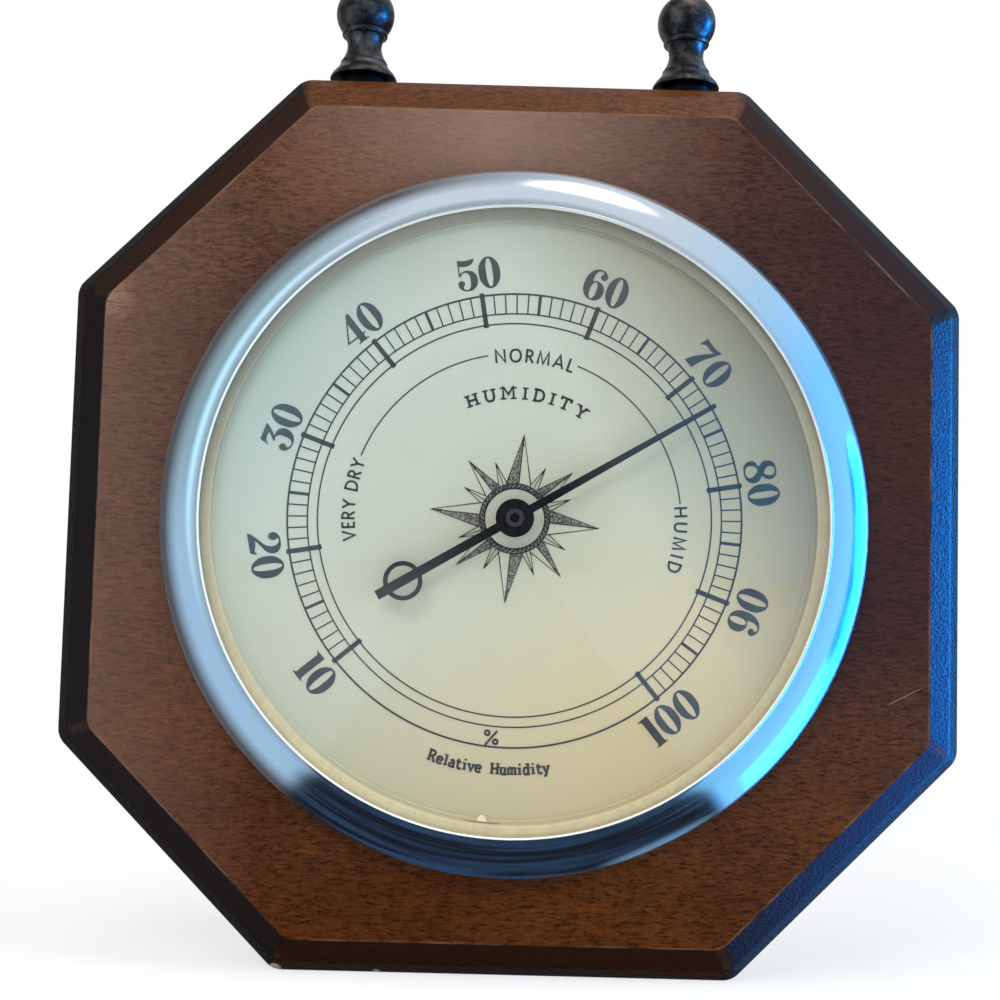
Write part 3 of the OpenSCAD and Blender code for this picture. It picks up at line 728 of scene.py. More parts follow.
# %% Plain capitals
PLAIN_LETTERS = {
    "A": (0.84, [[(0.05, 0), (0.42, 0.98), (0.79, 0)], [(0.17, 0.3), (0.67, 0.3)]], []),
    "D": (0.78, [[(0.08, 0), (0.08, 1)]], [[(0.0, 0.95), (0.3, 0.95), (0.55, 0.85), (0.68, 0.68),
          (0.7, 0.5), (0.68, 0.32), (0.55, 0.15), (0.3, 0.05), (0.0, 0.05)]]),
    "E": (0.5, [[(0.08, 0), (0.08, 1)], [(0.0, 0.95), (0.48, 0.95)], [(0.0, 0.5),
          (0.42, 0.5)], [(0.0, 0.05), (0.48, 0.05)]], []),
    "H": (0.78, [[(0.08, 0), (0.08, 1)], [(0.7, 0), (0.7, 1)], [(0.08, 0.5), (0.7, 0.5)]], []),
    "I": (0.16, [[(0.08, 0), (0.08, 1)]], []),
    "L": (0.5, [[(0.08, 1), (0.08, 0.05), (0.5, 0.05)]], []),
    "M": (0.98, [[(0.07, 0), (0.16, 0.98), (0.49, 0.06), (0.82, 0.98), (0.91, 0)]], []),
    "N": (0.82, [[(0.08, 0), (0.08, 0.98), (0.74, 0.02), (0.74, 1)]], []),
    "O": (0.96, [], [[(0.48, 0.96), (0.22, 0.87), (0.08, 0.5), (0.22, 0.13), (0.48, 0.04), (0.74, 0.13),
          (0.88, 0.5), (0.74, 0.87), (0.48, 0.96)]]),
    "R": (0.62, [[(0.08, 0), (0.08, 1)], [(0.28, 0.48), (0.58, 0)]], [[(0.0, 0.95), (0.26, 0.95),
          (0.45, 0.88), (0.5, 0.72), (0.45, 0.56), (0.26, 0.49), (0.08, 0.49)]]),
    "U": (0.76, [], [[(0.08, 1), (0.08, 0.6), (0.09, 0.28), (0.2, 0.09), (0.38, 0.04), (0.56, 0.09),
          (0.67, 0.28), (0.68, 0.6), (0.68, 1)]]),
    "V": (0.78, [[(0.04, 1), (0.39, 0.04), (0.74, 1)]], []),
    "Y": (0.74, [[(0.04, 1), (0.37, 0.5), (0.37, 0)], [(0.7, 1), (0.37, 0.5)]], []),
}


def through(points, steps=4):
    """Points on a smooth curve that passes through the given ones."""
    ends = [points[0], *points, points[-1]]
    curve = []
    for a, b, c, d in zip(ends, ends[1:], ends[2:], ends[3:]):
        for i in range(steps):
            t = i / steps
            curve.append(tuple(
                0.5 * (2 * b[k] + (c[k] - a[k]) * t + (2 * a[k] - 5 * b[k] + 4 * c[k] - d[k]) * t * t
                       + (3 * b[k] - a[k] - 3 * c[k] + d[k]) * t ** 3)
                for k in (0, 1)
            ))
    return [*curve, points[-1]]


def pen(points, width):
    """A line of even width drawn along points."""
    spots = [Vector(point) for point in points]
    left, right = [], []
    for i, spot in enumerate(spots):
        before = (spot - spots[i - 1]).normalized() if i else (spots[1] - spot).normalized()
        after = (spots[i + 1] - spot).normalized() if i + 1 < len(spots) else before
        way = (before + after).normalized()
        across = Vector((-way.y, way.x)) * width / 2 / max(0.5, way.dot(after))
        left.append(spot + across)
        right.append(spot - across)
    return flat_shape([*left, *reversed(right)])


def pen_letter(drawing, cap_h, pen_w, wide=1.0, slab_w=0.0, slab_t=0.0):
    """A letter as a flat mesh, with its width."""
    width, lines, curves, *slabs = drawing
    drawn, reach = [], slab_w / 2 * cap_h
    for path in [*lines, *map(through, curves)]:
        drawn.append(pen([(x * wide * cap_h, y * cap_h) for x, y in path], pen_w * cap_h))
    for x, y in slabs[0] if slabs else []:
        middle, level = x * wide * cap_h, min(max(y, slab_t / 2), 1 - slab_t / 2) * cap_h
        drawn.append(pen([(middle - reach, level), (middle + reach, level)], slab_t * cap_h))
    return gather(drawn), width * wide * cap_h


def plain_letter(character, cap_h):
    return pen_letter(PLAIN_LETTERS[character], cap_h, 0.165)


def word(text, radius, angle, span, cap_h, cut, tops_out=True, space=0.32):
    """A word on an arc, its letters spread over a span in degrees about an angle."""
    shapes = [cut(c, cap_h) if c != " " else (None, cap_h * space) for c in text]
    arc_mm = math.radians(span) * radius
    gap = (arc_mm - sum(width for shape, width in shapes)) / (len(text) - 1)
    x, turned = -arc_mm / 2, []
    for shape, width in shapes:
        if shape:
            way = math.degrees((x + width / 2) / radius) * (1 if tops_out else -1)
            turned.append(set_round(put(shape, -width / 2, -cap_h / 2), radius, angle + way, tops_out))
        x += width + gap
    return turned


range_words = word("VERY DRY", range_ring, -90, 28.6, 2.06, plain_letter)
range_words += word("NORMAL", 26.3, 0.55, 28.2, 2.12, plain_letter)
range_words += word("HUMID", range_ring, 90.7, 22.8, 2.1, plain_letter)
lay_down(gather(range_words), "dial_range_words")

# %% Typewriter letters
SLAB_LETTERS = {
    "H": (0.8, [[(0.15, 0), (0.15, 1)], [(0.65, 0), (0.65, 1)], [(0.15, 0.5),
          (0.65, 0.5)]], [], [(0.15, 0), (0.15, 1), (0.65, 0), (0.65, 1)]),
    "U": (0.8, [], [[(0.15, 1), (0.15, 0.6), (0.15, 0.3), (0.24, 0.08), (0.4, 0.03), (0.56, 0.08),
          (0.65, 0.3), (0.65, 0.6), (0.65, 1)]], [(0.15, 1), (0.65, 1)]),
    "M": (0.92, [[(0.14, 0), (0.14, 1), (0.46, 0.42), (0.78, 1), (0.78, 0)]], [], [(0.14, 0), (0.1, 1),
          (0.82, 1), (0.78, 0)]),
    "I": (0.5, [[(0.25, 0), (0.25, 1)]], [], [(0.25, 0), (0.25, 1)]),
    "D": (0.78, [[(0.18, 0), (0.18, 1)]], [[(0.04, 0.96), (0.3, 0.96), (0.52, 0.9), (0.67, 0.7),
          (0.69, 0.5), (0.67, 0.3), (0.52, 0.1), (0.3, 0.04), (0.04, 0.04)]], []),
    "T": (0.76, [[(0.38, 0), (0.38, 1)], [(0.0, 0.95), (0.76, 0.95)], [(0.06, 1),
          (0.06, 0.72)], [(0.7, 1), (0.7, 0.72)]], [], [(0.38, 0)]),
    "Y": (0.8, [[(0.12, 1), (0.4, 0.48), (0.4, 0)], [(0.68, 1), (0.4, 0.48)]], [], [(0.12, 1),
          (0.68, 1), (0.4, 0)]),
    "R": (0.8, [[(0.16, 0), (0.16, 1)], [(0.38, 0.48), (0.62, 0.04), (0.78, 0.04)]], [[(0.02, 0.96),
          (0.36, 0.96), (0.56, 0.88), (0.6, 0.72), (0.54, 0.56), (0.36, 0.48), (0.16, 0.48)]], [(0.16, 0)]),
    "e": (0.6, [[(0.08, 0.34), (0.54, 0.34)]], [[(0.54, 0.34), (0.5, 0.54), (0.31, 0.63), (0.12, 0.53),
          (0.07, 0.32), (0.14, 0.1), (0.34, 0.03), (0.55, 0.1)]], []),
    "l": (0.5, [[(0.25, 0), (0.25, 1)]], [], [(0.25, 0), (0.18, 0.97)]),
    "a": (0.62, [[(0.46, 0.4), (0.46, 0.04), (0.6, 0.04)]], [[(0.12, 0.55), (0.29, 0.63), (0.43, 0.56),
          (0.46, 0.38)], [(0.46, 0.36), (0.26, 0.37), (0.09, 0.27), (0.1, 0.1), (0.25, 0.03),
          (0.46, 0.14)]], []),
    "t": (0.54, [[(0.02, 0.62), (0.46, 0.62)]], [[(0.2, 0.88), (0.2, 0.5), (0.2, 0.18), (0.28, 0.04),
          (0.42, 0.03), (0.52, 0.1)]], []),
    "i": (0.5, [[(0.25, 0), (0.25, 0.63)], [(0.25, 0.83), (0.25, 1.0)]], [], [(0.25, 0), (0.18, 0.6)]),
    "v": (0.64, [[(0.1, 0.6), (0.32, 0.04), (0.54, 0.6)]], [], [(0.1, 0.61), (0.54, 0.61)]),
    "u": (0.66, [[(0.5, 0.6), (0.5, 0.04), (0.64, 0.04)]], [[(0.15, 0.62), (0.15, 0.35), (0.17, 0.1),
          (0.3, 0.03), (0.5, 0.14)]], [(0.1, 0.61), (0.45, 0.61)]),
    "m": (0.86, [[(0.12, 0), (0.12, 0.62)], [(0.43, 0), (0.43, 0.45)], [(0.74, 0),
          (0.74, 0.45)]], [[(0.12, 0.5), (0.25, 0.62), (0.38, 0.6), (0.43, 0.45)], [(0.43, 0.5),
          (0.56, 0.62), (0.69, 0.6), (0.74, 0.45)]], [(0.12, 0), (0.43, 0), (0.74, 0)]),
    "d": (0.66, [[(0.5, 1), (0.5, 0.04), (0.64, 0.04)]], [[(0.5, 0.5), (0.36, 0.62), (0.17, 0.57),
          (0.09, 0.32), (0.16, 0.08), (0.33, 0.03), (0.5, 0.14)]], [(0.43, 0.97)]),
    "y": (0.66, [[(0.1, 0.6), (0.34, 0.04)], [(0.56, 0.6), (0.26, -0.22),
          (0.08, -0.22)]], [], [(0.1, 0.61), (0.56, 0.61)]),
}


def typed_letter(character, cap_h):
    return pen_letter(SLAB_LETTERS[character], cap_h, 0.22, 1.0, 0.36, 0.13)


def title_letter(character, cap_h):
    return pen_letter(SLAB_LETTERS[character], cap_h, 0.2, 1.3, 0.48, 0.13)


title_angles = (-26.3, -18.1, -9.5, -1.8, 4.6, 10.9, 17.1, 25.3)
title_h, title_ring = 1.97, 20.2
slab_words = []
for character, angle in zip("HUMIDITY", title_angles):
    shape, width = title_letter(character, title_h)
    slab_words.append(set_round(put(shape, -width / 2, -title_h / 2), title_ring, angle))
slab_words += word("Relative Humidity", 39.68, 179.4, 28.1, 1.77, typed_letter, tops_out=False, space=0.74)
lay_down(gather(slab_words), "dial_slab_words")

# %% [markdown]
# The percent sign is two small rings and a slash.

# %% Percent sign
percent_x, percent_y = 0.34, -35.04
percent = [put(ring_shape(0.37, 0.4), x, y) for x, y in ((-0.7, 0.82), (0.72, -0.44))]
percent.append(stroke((-0.85, -1.1), (0.85, 1.3), 0.36))
lay_down(put(gather(percent), percent_x, percent_y), "dial_percent")

# %% [markdown]
# At the bottom of the window's flange the injection gate has left its mark: a thin dark line with a pale
# stub in its middle. Both are flat, so they are drawn and laid down like print, on top of the flange.

# %% Gate mark
gate_angle, gate_ring, gate_level, half_scar = 179.6, 48.2, 1.62, 3.3
scar = ring_shape(gate_ring, 0.13, gate_angle - half_scar, gate_angle + half_scar)
lay_down(scar, "gate_scar", gate_level, "lens_clear")
turns = [math.radians(12 * i) for i in range(16)]
stub = flat_shape([(0.7 * math.cos(a), 0.95 * math.sin(a)) for a in turns])
lay_down(put(stub, *polar(gate_ring - 0.2, gate_angle)), "gate_stub", gate_level + 0.2, "lens_clear")

# %% [markdown]
# The compass rose in the middle is the traditional one: four long points, four shorter ones between
# them and eight small ones behind. Each long point is split down its middle into a light and a shaded
# half, and a roped ring closes the centre. Straight pen strokes make the outlines.

# %% Compass rose
rose_line, ring_in, ring_out = 0.17, 4.82, 5.6
long_ray, short_ray = (13.55, 20.2), (11.85, 13.8)
thin_tip, thin_turns, thin_half = 9.5, (25.2, 64.6), 6.2
rope_n, rope_lean = 46, 7.6
lines = [ring_shape(ring_in, 0.2), ring_shape(ring_out, 0.2)]
shades = [ring_shape((ring_in + ring_out) / 2, ring_out - ring_in)]
for i in range(8):
    turn = 45 * i
    tip, half = long_ray if i % 2 == 0 else short_ray
    shaded = 1 if i == 7 else -1
    middle, point = polar(ring_out, turn), polar(tip, turn)
    for side in (-1, 1):
        edge = polar(ring_out + 0.15, turn + side * half)
        lines.append(stroke(edge, point, rose_line, 0.08))
        if side == shaded:
            shades.append(flat_shape([middle, edge, point] if side < 0 else [middle, point, edge]))
    lines.append(stroke(middle, point, rose_line * 1.25, 0.12))
    lines.append(stroke(polar(tip - 1.9, turn), point, 0.32, 0.06))
for i in range(8):
    turn = 90 * (i // 2) + thin_turns[i % 2]
    point = polar(thin_tip, turn)
    lines.append(stroke(polar(ring_out, turn), point, rose_line * 0.8, 0.08))
    for side in (-1, 1):
        lines.append(stroke(polar(6.05, turn + side * thin_half), point, rose_line * 0.9, 0.08))
    lines.append(stroke(polar(8.4, turn), point, 0.24, 0.06))
for i in range(rope_n):
    turn = 360 * i / rope_n
    lines.append(stroke(polar(ring_in + 0.02, turn), polar(ring_out - 0.02, turn + rope_lean), 0.3, 0.16))
lay_down(gather(lines), "dial_rose")
lay_down(gather(shades), "dial_rose_shade", level=-0.003)

# %% [markdown]
# ## Materials
#
# Every finish is built from nodes. Patterns read Object coordinates in metres, so one unit of a scale
# is one repeat in a metre: a noise with scale 1000 has features about a millimetre wide. The helpers
# below add a node, join sockets and make a material with a Principled shader.

# %% Helpers for materials
def srgb(red, green, blue):
    """A colour written as on a screen, 0 to 255, as Blender's linear colour."""
    parts = [c / 255 for c in (red, green, blue)]
    return (*[c / 12.92 if c <= 0.04045 else ((c + 0.055) / 1.055) ** 2.4 for c in parts], 1.0)


def add_node(tree, kind, inputs=None, **settings):
    """Add a node, set it, and join or fill its inputs."""
    made = tree.nodes.new(kind)
    for name, value in settings.items():
        setattr(made, name, value)
    for name, value in (inputs or {}).items():
        if isinstance(value, bpy.types.NodeSocket):
            tree.links.new(value, made.inputs[name])
        else:
            made.inputs[name].default_value = value
    return made


class Finish:
    """A material with a Principled shader, and short ways to add and join nodes."""

    def __init__(self, name, **sockets):
        self.material = bpy.data.materials.new(name)
        self.material.use_nodes = True
        self.tree = self.material.node_tree
        self.shader = self.tree.nodes["Principled BSDF"]
        for socket, value in sockets.items():
            self.shader.inputs[socket.replace("_", " ")].default_value = value
        self.place = self.node("ShaderNodeTexCoord").outputs["Object"]
        self.color = None

    def node(self, kind, inputs=None, **settings):
        return add_node(self.tree, kind, inputs, **settings)

    def link(self, output, socket):
        self.tree.links.new(output, self.shader.inputs[socket])

    def show(self, output):
        """Send a shader to the material's surface."""
        self.tree.links.new(output, self.tree.nodes["Material Output"].inputs["Surface"])

    def stretched(self, x, y, z):
        """Object coordinates multiplied by three scales, one for each axis."""
        return self.node("ShaderNodeMapping", {"Vector": self.place, "Scale": (x, y, z)}).outputs[0]

    def noise(self, vector, scale=1.0, detail=3.0, rough=0.5, distort=0.0):
        inputs = {"Vector": vector, "Scale": scale, "Detail": detail, "Roughness": rough}
        return self.node("ShaderNodeTexNoise", {**inputs, "Distortion": distort}).outputs["Fac"]

    def parts(self, vector):
        """The x, y and z of a vector."""
        return self.node("ShaderNodeSeparateXYZ", {0: vector}).outputs

    def along(self, way, vector):
        """How far a vector reaches along a direction."""
        made = self.node("ShaderNodeVectorMath", {0: vector, 1: way}, operation="DOT_PRODUCT")
        return made.outputs["Value"]

    def from_axis(self):
        """How far a point is from the dial's axis."""
        x, _, z = self.parts(self.place)
        return self.maths("SQRT", self.plus(self.maths("POWER", x, 2.0), self.maths("POWER", z, 2.0)))

    def fit(self, value, low, high, to_low=0.0, to_high=1.0):
        """Map a value from one range to another and clamp it."""
        inputs = {"Value": value, "From Min": low, "From Max": high, "To Min": to_low, "To Max": to_high}
        return self.node("ShaderNodeMapRange", inputs).outputs[0]

    def ramp(self, value, low, high, share=1.0):
        """0 at one place in millimetres, rising to a share at another."""
        return self.fit(value, low * mm, high * mm, 0.0, share)

    def maths(self, operation, first, second=0.0):
        return self.node("ShaderNodeMath", {0: first, 1: second}, operation=operation).outputs[0]

    def plus(self, first, second):
        return self.maths("ADD", first, second)

    def times(self, first, *others):
        for other in others:
            first = self.maths("MULTIPLY", first, other)
        return first

    def blend(self, share, first, second, mode="MIX"):
        """Mix two colours by a share."""
        inputs = {0: share, 6: first, 7: second}
        return self.node("ShaderNodeMix", inputs, data_type="RGBA", blend_type=mode).outputs[2]

    def lay(self, share, *color):
        """Lay a screen colour over what is there, by a share."""
        self.color = self.blend(share, self.color, srgb(*color))

    def mottle(self, scale, first, second, low=0.3, high=0.7, share=1.0, detail=3):
        """Colour the surface with two screen colours by a noise, and give the noise."""
        grain = self.noise(self.place, scale, detail)
        mixed = self.blend(self.fit(grain, low, high, 0.0, share), srgb(*first), srgb(*second))
        self.link(mixed, "Base Color")
        return grain

    def bump(self, height, strength, distance):
        inputs = {"Height": height, "Strength": strength, "Distance": distance}
        self.link(self.node("ShaderNodeBump", inputs).outputs[0], "Normal")

    def spot(self, x, y, z, radius, soft):
        """1 inside a small ball about a point of the drawing, fading to 0 outside."""
        apart = self.node("ShaderNodeVectorMath", {0: self.place, 1: at(x, y, z)}, operation="DISTANCE")
        return self.fit(apart.outputs["Value"], radius * mm, (radius + soft) * mm, 1.0, 0.0)


def dress(material, *names):
    """Give a material to pieces by name."""
    for name in names:
        piece = bpy.data.objects[name]
        piece.data.materials.clear()
        piece.data.materials.append(material)
    print(material.name, "on", ", ".join(names))


# %% [markdown]
# The board is a fine-grained hardwood under a reddish brown stain and a glossy lacquer. The grain runs
# across, as short fine dashes with a few longer pores. The tone goes from an orange brown low down to a
# greyer, lighter brown high up, which is painted sheen. A paler patch at the top and at the left is
# painted sheen too, and the right side is darkened by painted shade.

# %% Stained wood
wood = Finish("walnut_stain_and_sheen", Specular_IOR_Level=0.12)
wood_x, _, wood_z = wood.parts(wood.place)
facing_x, facing_y, _ = wood.parts(wood.node("ShaderNodeTexCoord").outputs["Normal"])
sideways, forward = wood.maths("ABSOLUTE", facing_x), wood.times(facing_y, -1.0)

figure = wood.noise(wood.stretched(12, 60, 70))
dashes = wood.noise(wood.stretched(620, 2300, 2500), detail=4, rough=0.7, distort=0.6)
pores = wood.noise(wood.stretched(150, 1500, 2000), rough=0.6, distort=0.5)
cloudy = wood.noise(wood.stretched(22, 40, 34))
lift = wood.plus(wood_z, wood.times(wood.maths("ABSOLUTE", wood_x), 0.3))
# painted sheen: the face turns greyer and lighter towards the top
sheen_by_height = wood.ramp(lift, -58, 25)
light_wood = wood.blend(sheen_by_height, srgb(101, 49, 9), srgb(103, 67, 52))
dark_wood = wood.blend(sheen_by_height, srgb(46, 19, 2), srgb(48, 29, 24))
wood.color = wood.blend(wood.fit(dashes, 0.36, 0.64), dark_wood, light_wood)
wood.color = wood.blend(wood.fit(figure, 0.3, 0.7, 0.0, 0.35), wood.color, dark_wood)
wood.lay(wood.fit(pores, 0.56, 0.7, 0.0, 0.4), 36, 17, 9)
wood.lay(wood.times(wood.fit(cloudy, 0.48, 0.66, 0.0, 0.4), wood.fit(dashes, 0.35, 0.6)), 118, 66, 18)
off_middle = wood.maths("ABSOLUTE", wood.plus(wood_x, 5 * mm))
# painted sheen: a pale patch at the top middle and along the left side
painted_sheen = wood.times(wood.ramp(off_middle, 42, 0), wood.ramp(wood_z, 30, 64), 0.5)
wood.lay(wood.maths("MAXIMUM", painted_sheen, wood.ramp(wood_x, -40, -70, 0.2)), 162, 132, 116)
# painted shade: the right side of the face is darker, with a purple cast
wood.lay(wood.times(wood.ramp(wood_x, 12, 58, 0.7), wood.ramp(wood_z, -46, -12)), 40, 23, 27)
face_wood = wood.color
print("The face of the board has", len(wood.tree.nodes), "nodes so far")

# %% [markdown]
# End grain drinks stain, so the moulding is nearly black where the grain meets it end on, and brown along
# the top and the bottom; the top run is painted lighter and the bottom run darker, as painted light from
# above. How far a surface faces sideways says which it is. The thin rounded line between face and
# moulding is paler in patches, a few chips at the bottom edge show pale wood, the upper left corner is
# paler and a thin scratch lies near the lower right corner.

# %% Moulding, wear and scratch
# painted light and shade: the moulding is lighter along the top and darker along the bottom
wood.color = wood.blend(wood.ramp(wood_z, -20, 62), srgb(38, 19, 6), srgb(94, 52, 24))
wood.lay(wood.fit(dashes, 0.4, 0.6, 0.0, 0.75), 46, 22, 12)
wood.lay(wood.fit(sideways, 0.08, 0.42), 22, 13, 11)
side_wood = wood.blend(wood.fit(dashes, 0.4, 0.6), srgb(34, 19, 13), srgb(66, 38, 24))
edge_wood = wood.blend(wood.fit(forward, 0.35, 0.15), wood.color, side_wood)
moulding = wood.fit(forward, 0.9, 0.975, 1.0, 0.0)
wood.color = wood.blend(moulding, face_wood, edge_wood)

# the thin crest between face and moulding is paler in patches
pale_places = wood.fit(wood.noise(wood.place, 160.0, detail=4), 0.42, 0.62, 0.0, 0.45)
wood.lay(wood.times(wood.fit(forward, 0.87, 0.9), wood.fit(forward, 0.995, 0.975), pale_places), 136, 98, 72)
chips = 0.0
for x, y, z, radius in ((-36.8, -73.4, 15.0, 0.75), (-36.1, -73.7, 15.9, 0.4), (-20.5, -73.8, 14.8, 0.5)):
    chips = wood.maths("MAXIMUM", chips, wood.spot(x, y, z, radius, 0.35))
wood.lay(wood.times(chips, wood.fit(dashes, 0.35, 0.5)), 176, 160, 150)
# a paler patch at the upper left corner
pale_corner = wood.times(wood.spot(-67.6, 35.2, 19.0, 0.6, 4.4), wood.fit(dashes, 0.35, 0.55, 0.0, 0.65))
wood.lay(wood.times(pale_corner, wood.fit(forward, 0.93, 0.985)), 150, 118, 100)
scratch_at, scratch_off = 44.36 * mm, -53.5 * mm
lengthwise = wood.maths("SUBTRACT", wood.along((0.887, 0.0, 0.462), wood.place), scratch_at)
crosswise = wood.maths("SUBTRACT", wood.along((-0.462, 0.0, 0.887), wood.place), scratch_off)
scratch = wood.times(
    wood.ramp(wood.maths("ABSOLUTE", lengthwise), 3.5, 2.2),
    wood.ramp(wood.maths("ABSOLUTE", crosswise), 0.12, 0.04, 0.6),
)
wood.lay(wood.times(scratch, wood.fit(forward, 0.9, 0.99)), 142, 112, 98)
wood.link(wood.color, "Base Color")
wood.link(wood.fit(dashes, 0.3, 0.7, 0.24, 0.34), "Roughness")
wrinkles = wood.noise(wood.stretched(1500, 2200, 2200), detail=2)
relief = wood.plus(wood.times(pores, 0.5), wood.times(dashes, 0.5))
relief = wood.plus(relief, wood.times(wrinkles, wood.fit(moulding, 0.0, 1.0, 0.25, 2.2)))
wood.bump(relief, 0.35, 0.1 * mm)
dress(wood.material, "board")

# %% [markdown]
# The bezel is nickel or chrome plate with a light haze of age. A mirror would show too much, so the
# roughness is low but uneven, with a few small specks where the plate has gone dull. The bead at the
# window is painted as a plain white, nearly matt line: a painted highlight for the bright glint it shows.

# %% Polished plate
plate = Finish("hazed_plate", Metallic=1.0)
haze = plate.noise(plate.place, 160.0, detail=4)
tarnish = plate.fit(plate.noise(plate.place, 1500.0, detail=2), 0.72, 0.8)
# painted highlight: inside 50.5 mm, on the bead, the plate is white and hardly metallic
bead_highlight = plate.fit(plate.from_axis(), 50.5 * mm, 50.58 * mm, 1.0, 0.0)
plate.color = plate.blend(tarnish, srgb(210, 214, 218), srgb(150, 146, 142))
plate.lay(bead_highlight, 240, 240, 238)
plate.link(plate.color, "Base Color")
plate.link(plate.fit(bead_highlight, 0.0, 1.0, 1.0, 0.2), "Metallic")
plate.link(plate.plus(plate.fit(haze, 0.3, 0.7, 0.07, 0.13), plate.times(tarnish, 0.2)), "Roughness")
plate.bump(haze, 0.04, 0.2 * mm)
dress(plate.material, "spun_bezel")

# %% [markdown]
# The window is clear acrylic. Real glass would also darken and focus the lamps, which takes very many
# samples to render cleanly, so for rays from the lamps, and for light on its way from the dial, a Light
# Path switch makes it simply transparent.

# %% Clear window
clear = Finish("clear_acrylic", IOR=1.49, Transmission_Weight=1.0)
clear.shader.inputs["Base Color"].default_value = (1.0, 1.0, 1.0, 1.0)
passing = clear.node("ShaderNodeBsdfTransparent")
rays = clear.node("ShaderNodeLightPath")
surface = clear.shader.outputs[0]
for kind in ("Is Shadow Ray", "Is Diffuse Ray"):
    switch = clear.node("ShaderNodeMixShader", {"Fac": rays.outputs[kind], 1: surface, 2: passing.outputs[0]})
    surface = switch.outputs[0]
clear.show(surface)
wipe = clear.noise(clear.place, 90.0, detail=4)
clear.link(clear.fit(wipe, 0.5, 0.8, 0.0, 0.012), "Roughness")
dress(clear.material, "domed_window")

# %% [markdown]
# The dial is cream enamel that has yellowed towards the lower right. The rest of its shading is painted:
# a grey-green tint at the upper left and a darker teal at the upper-left rim are painted reflection and
# shade, the rim darkens partly from age and partly as painted shade of the bezel, and a dark band at the
# right rim is painted shadow. The ink is a soft black, and the shaded halves of the compass rose are the
# same ink laid as fine dots.

# %% Dial and ink
cream = Finish("aged_cream_and_shade", Roughness=0.55)
slope = cream.along((0.55, 0.0, -0.83), cream.place)
upper_left = cream.along((-0.8, 0.0, 0.6), cream.place)
to_right = cream.along((0.86, 0.0, 0.5), cream.place)
cloud = cream.noise(cream.place, 45.0, detail=4)
age_and_rim_shade = cream.plus(cream.ramp(cream.from_axis(), 30, 50), cream.fit(cloud, 0.3, 0.7, -0.15, 0.15))
# painted reflection: grey-green towards the upper left; the yellow towards the lower right is age
cream.color = cream.blend(cream.ramp(slope, -34, 12), srgb(180, 190, 178), srgb(184, 186, 163))
cream.lay(cream.ramp(slope, 8, 46), 199, 174, 120)
# partly age and partly painted shade: cloudy darkening towards the rim
cream.lay(cream.fit(age_and_rim_shade, 0.0, 1.0, 0.0, 0.4), 150, 154, 130)
# painted shade and reflection: the upper-left rim is darker and teal
cream.lay(cream.ramp(upper_left, 31, 50, 0.7), 138, 156, 146)
# painted shadow: a dark band at the right rim, as the bezel's shadow
cream.lay(cream.ramp(to_right, 18, 46, 0.95), 124, 117, 88)
cream.lay(cream.fit(cream.noise(cream.place, 2600.0, detail=1), 0.3, 0.7, 0.0, 0.1), 165, 160, 140)
cream.link(cream.color, "Base Color")
dress(cream.material, "dial")

ink = Finish("dial_ink", Roughness=0.5)
ink.mottle(900.0, (20, 21, 23), (34, 35, 36), 0.35, 0.7)
printed = ("dial_scale", "dial_numerals", "dial_range_words", "dial_slab_words", "dial_percent", "dial_rose")
dress(ink.material, *printed)
dots = Finish("dial_ink_dots", Roughness=0.5)
dots.mottle(4200.0, (142, 137, 124), (48, 49, 50), 0.4, 0.6, detail=1)
dress(dots.material, "dial_rose_shade")

# %% [markdown]
# The gasket behind the window's flange is tan, painted darker and greyer towards the top as painted shade
# under the bezel. The gate's scar is a dark line in the plastic, and its stub is as pale as horn.

# %% Gasket and gate mark
felt = Finish("gasket_cream", Roughness=0.85)
felt_z = felt.parts(felt.place)["Z"]
felt_grain = felt.noise(felt.place, 1200.0)
# painted shade: the gasket is darker and greyer towards the top
felt.color = felt.blend(felt.ramp(felt_z, -46, 26), srgb(222, 206, 160), srgb(156, 156, 140))
felt.lay(felt.fit(felt_grain, 0.3, 0.7, 0.0, 0.2), 120, 112, 88)
felt.link(felt.color, "Base Color")
felt.bump(felt_grain, 0.3, 0.08 * mm)
dress(felt.material, "lens_gasket")
gate_marks = (("gate_burn", (92, 80, 56), "gate_scar"), ("gate_horn", (232, 220, 180), "gate_stub"))
for name, shade, piece in gate_marks:
    gate = Finish(name, Roughness=0.5)
    gate.mottle(3000.0, shade, (150, 138, 104), share=0.3)
    dress(gate.material, piece)

# %% [markdown]
# The posts are cast white metal with a black patina that has been rubbed bright on the ridges. The
# spigot under the flare is painted nearly black, a painted shadow. The hand is blued or painted steel,
# nearly black, and its boss is matt.

# %% Patina and blacks
patina = Finish("black_patina", Metallic=0.85)
rub = patina.noise(patina.place, 420.0, detail=5, rough=0.6)
sparkle = patina.noise(patina.place, 2600.0, detail=2)
patina.color = patina.blend(patina.fit(rub, 0.45, 0.75), srgb(38, 36, 37), srgb(104, 96, 90))
patina.lay(patina.fit(sparkle, 0.58, 0.78, 0.0, 0.4), 132, 122, 112)
# painted shadow: nearly black below the underside of the flare
above_painted_shadow = patina.ramp(patina.parts(patina.place)["Z"], post_foot + 1.5, post_foot + 2.0)
patina.link(patina.blend(above_painted_shadow, srgb(8, 8, 9), patina.color), "Base Color")
patina.link(patina.fit(rub, 0.3, 0.7, 0.4, 0.26), "Roughness")
patina.bump(patina.plus(rub, patina.times(sparkle, 0.4)), 0.35, 0.15 * mm)
dress(patina.material, "turned_post_left", "turned_post_right")

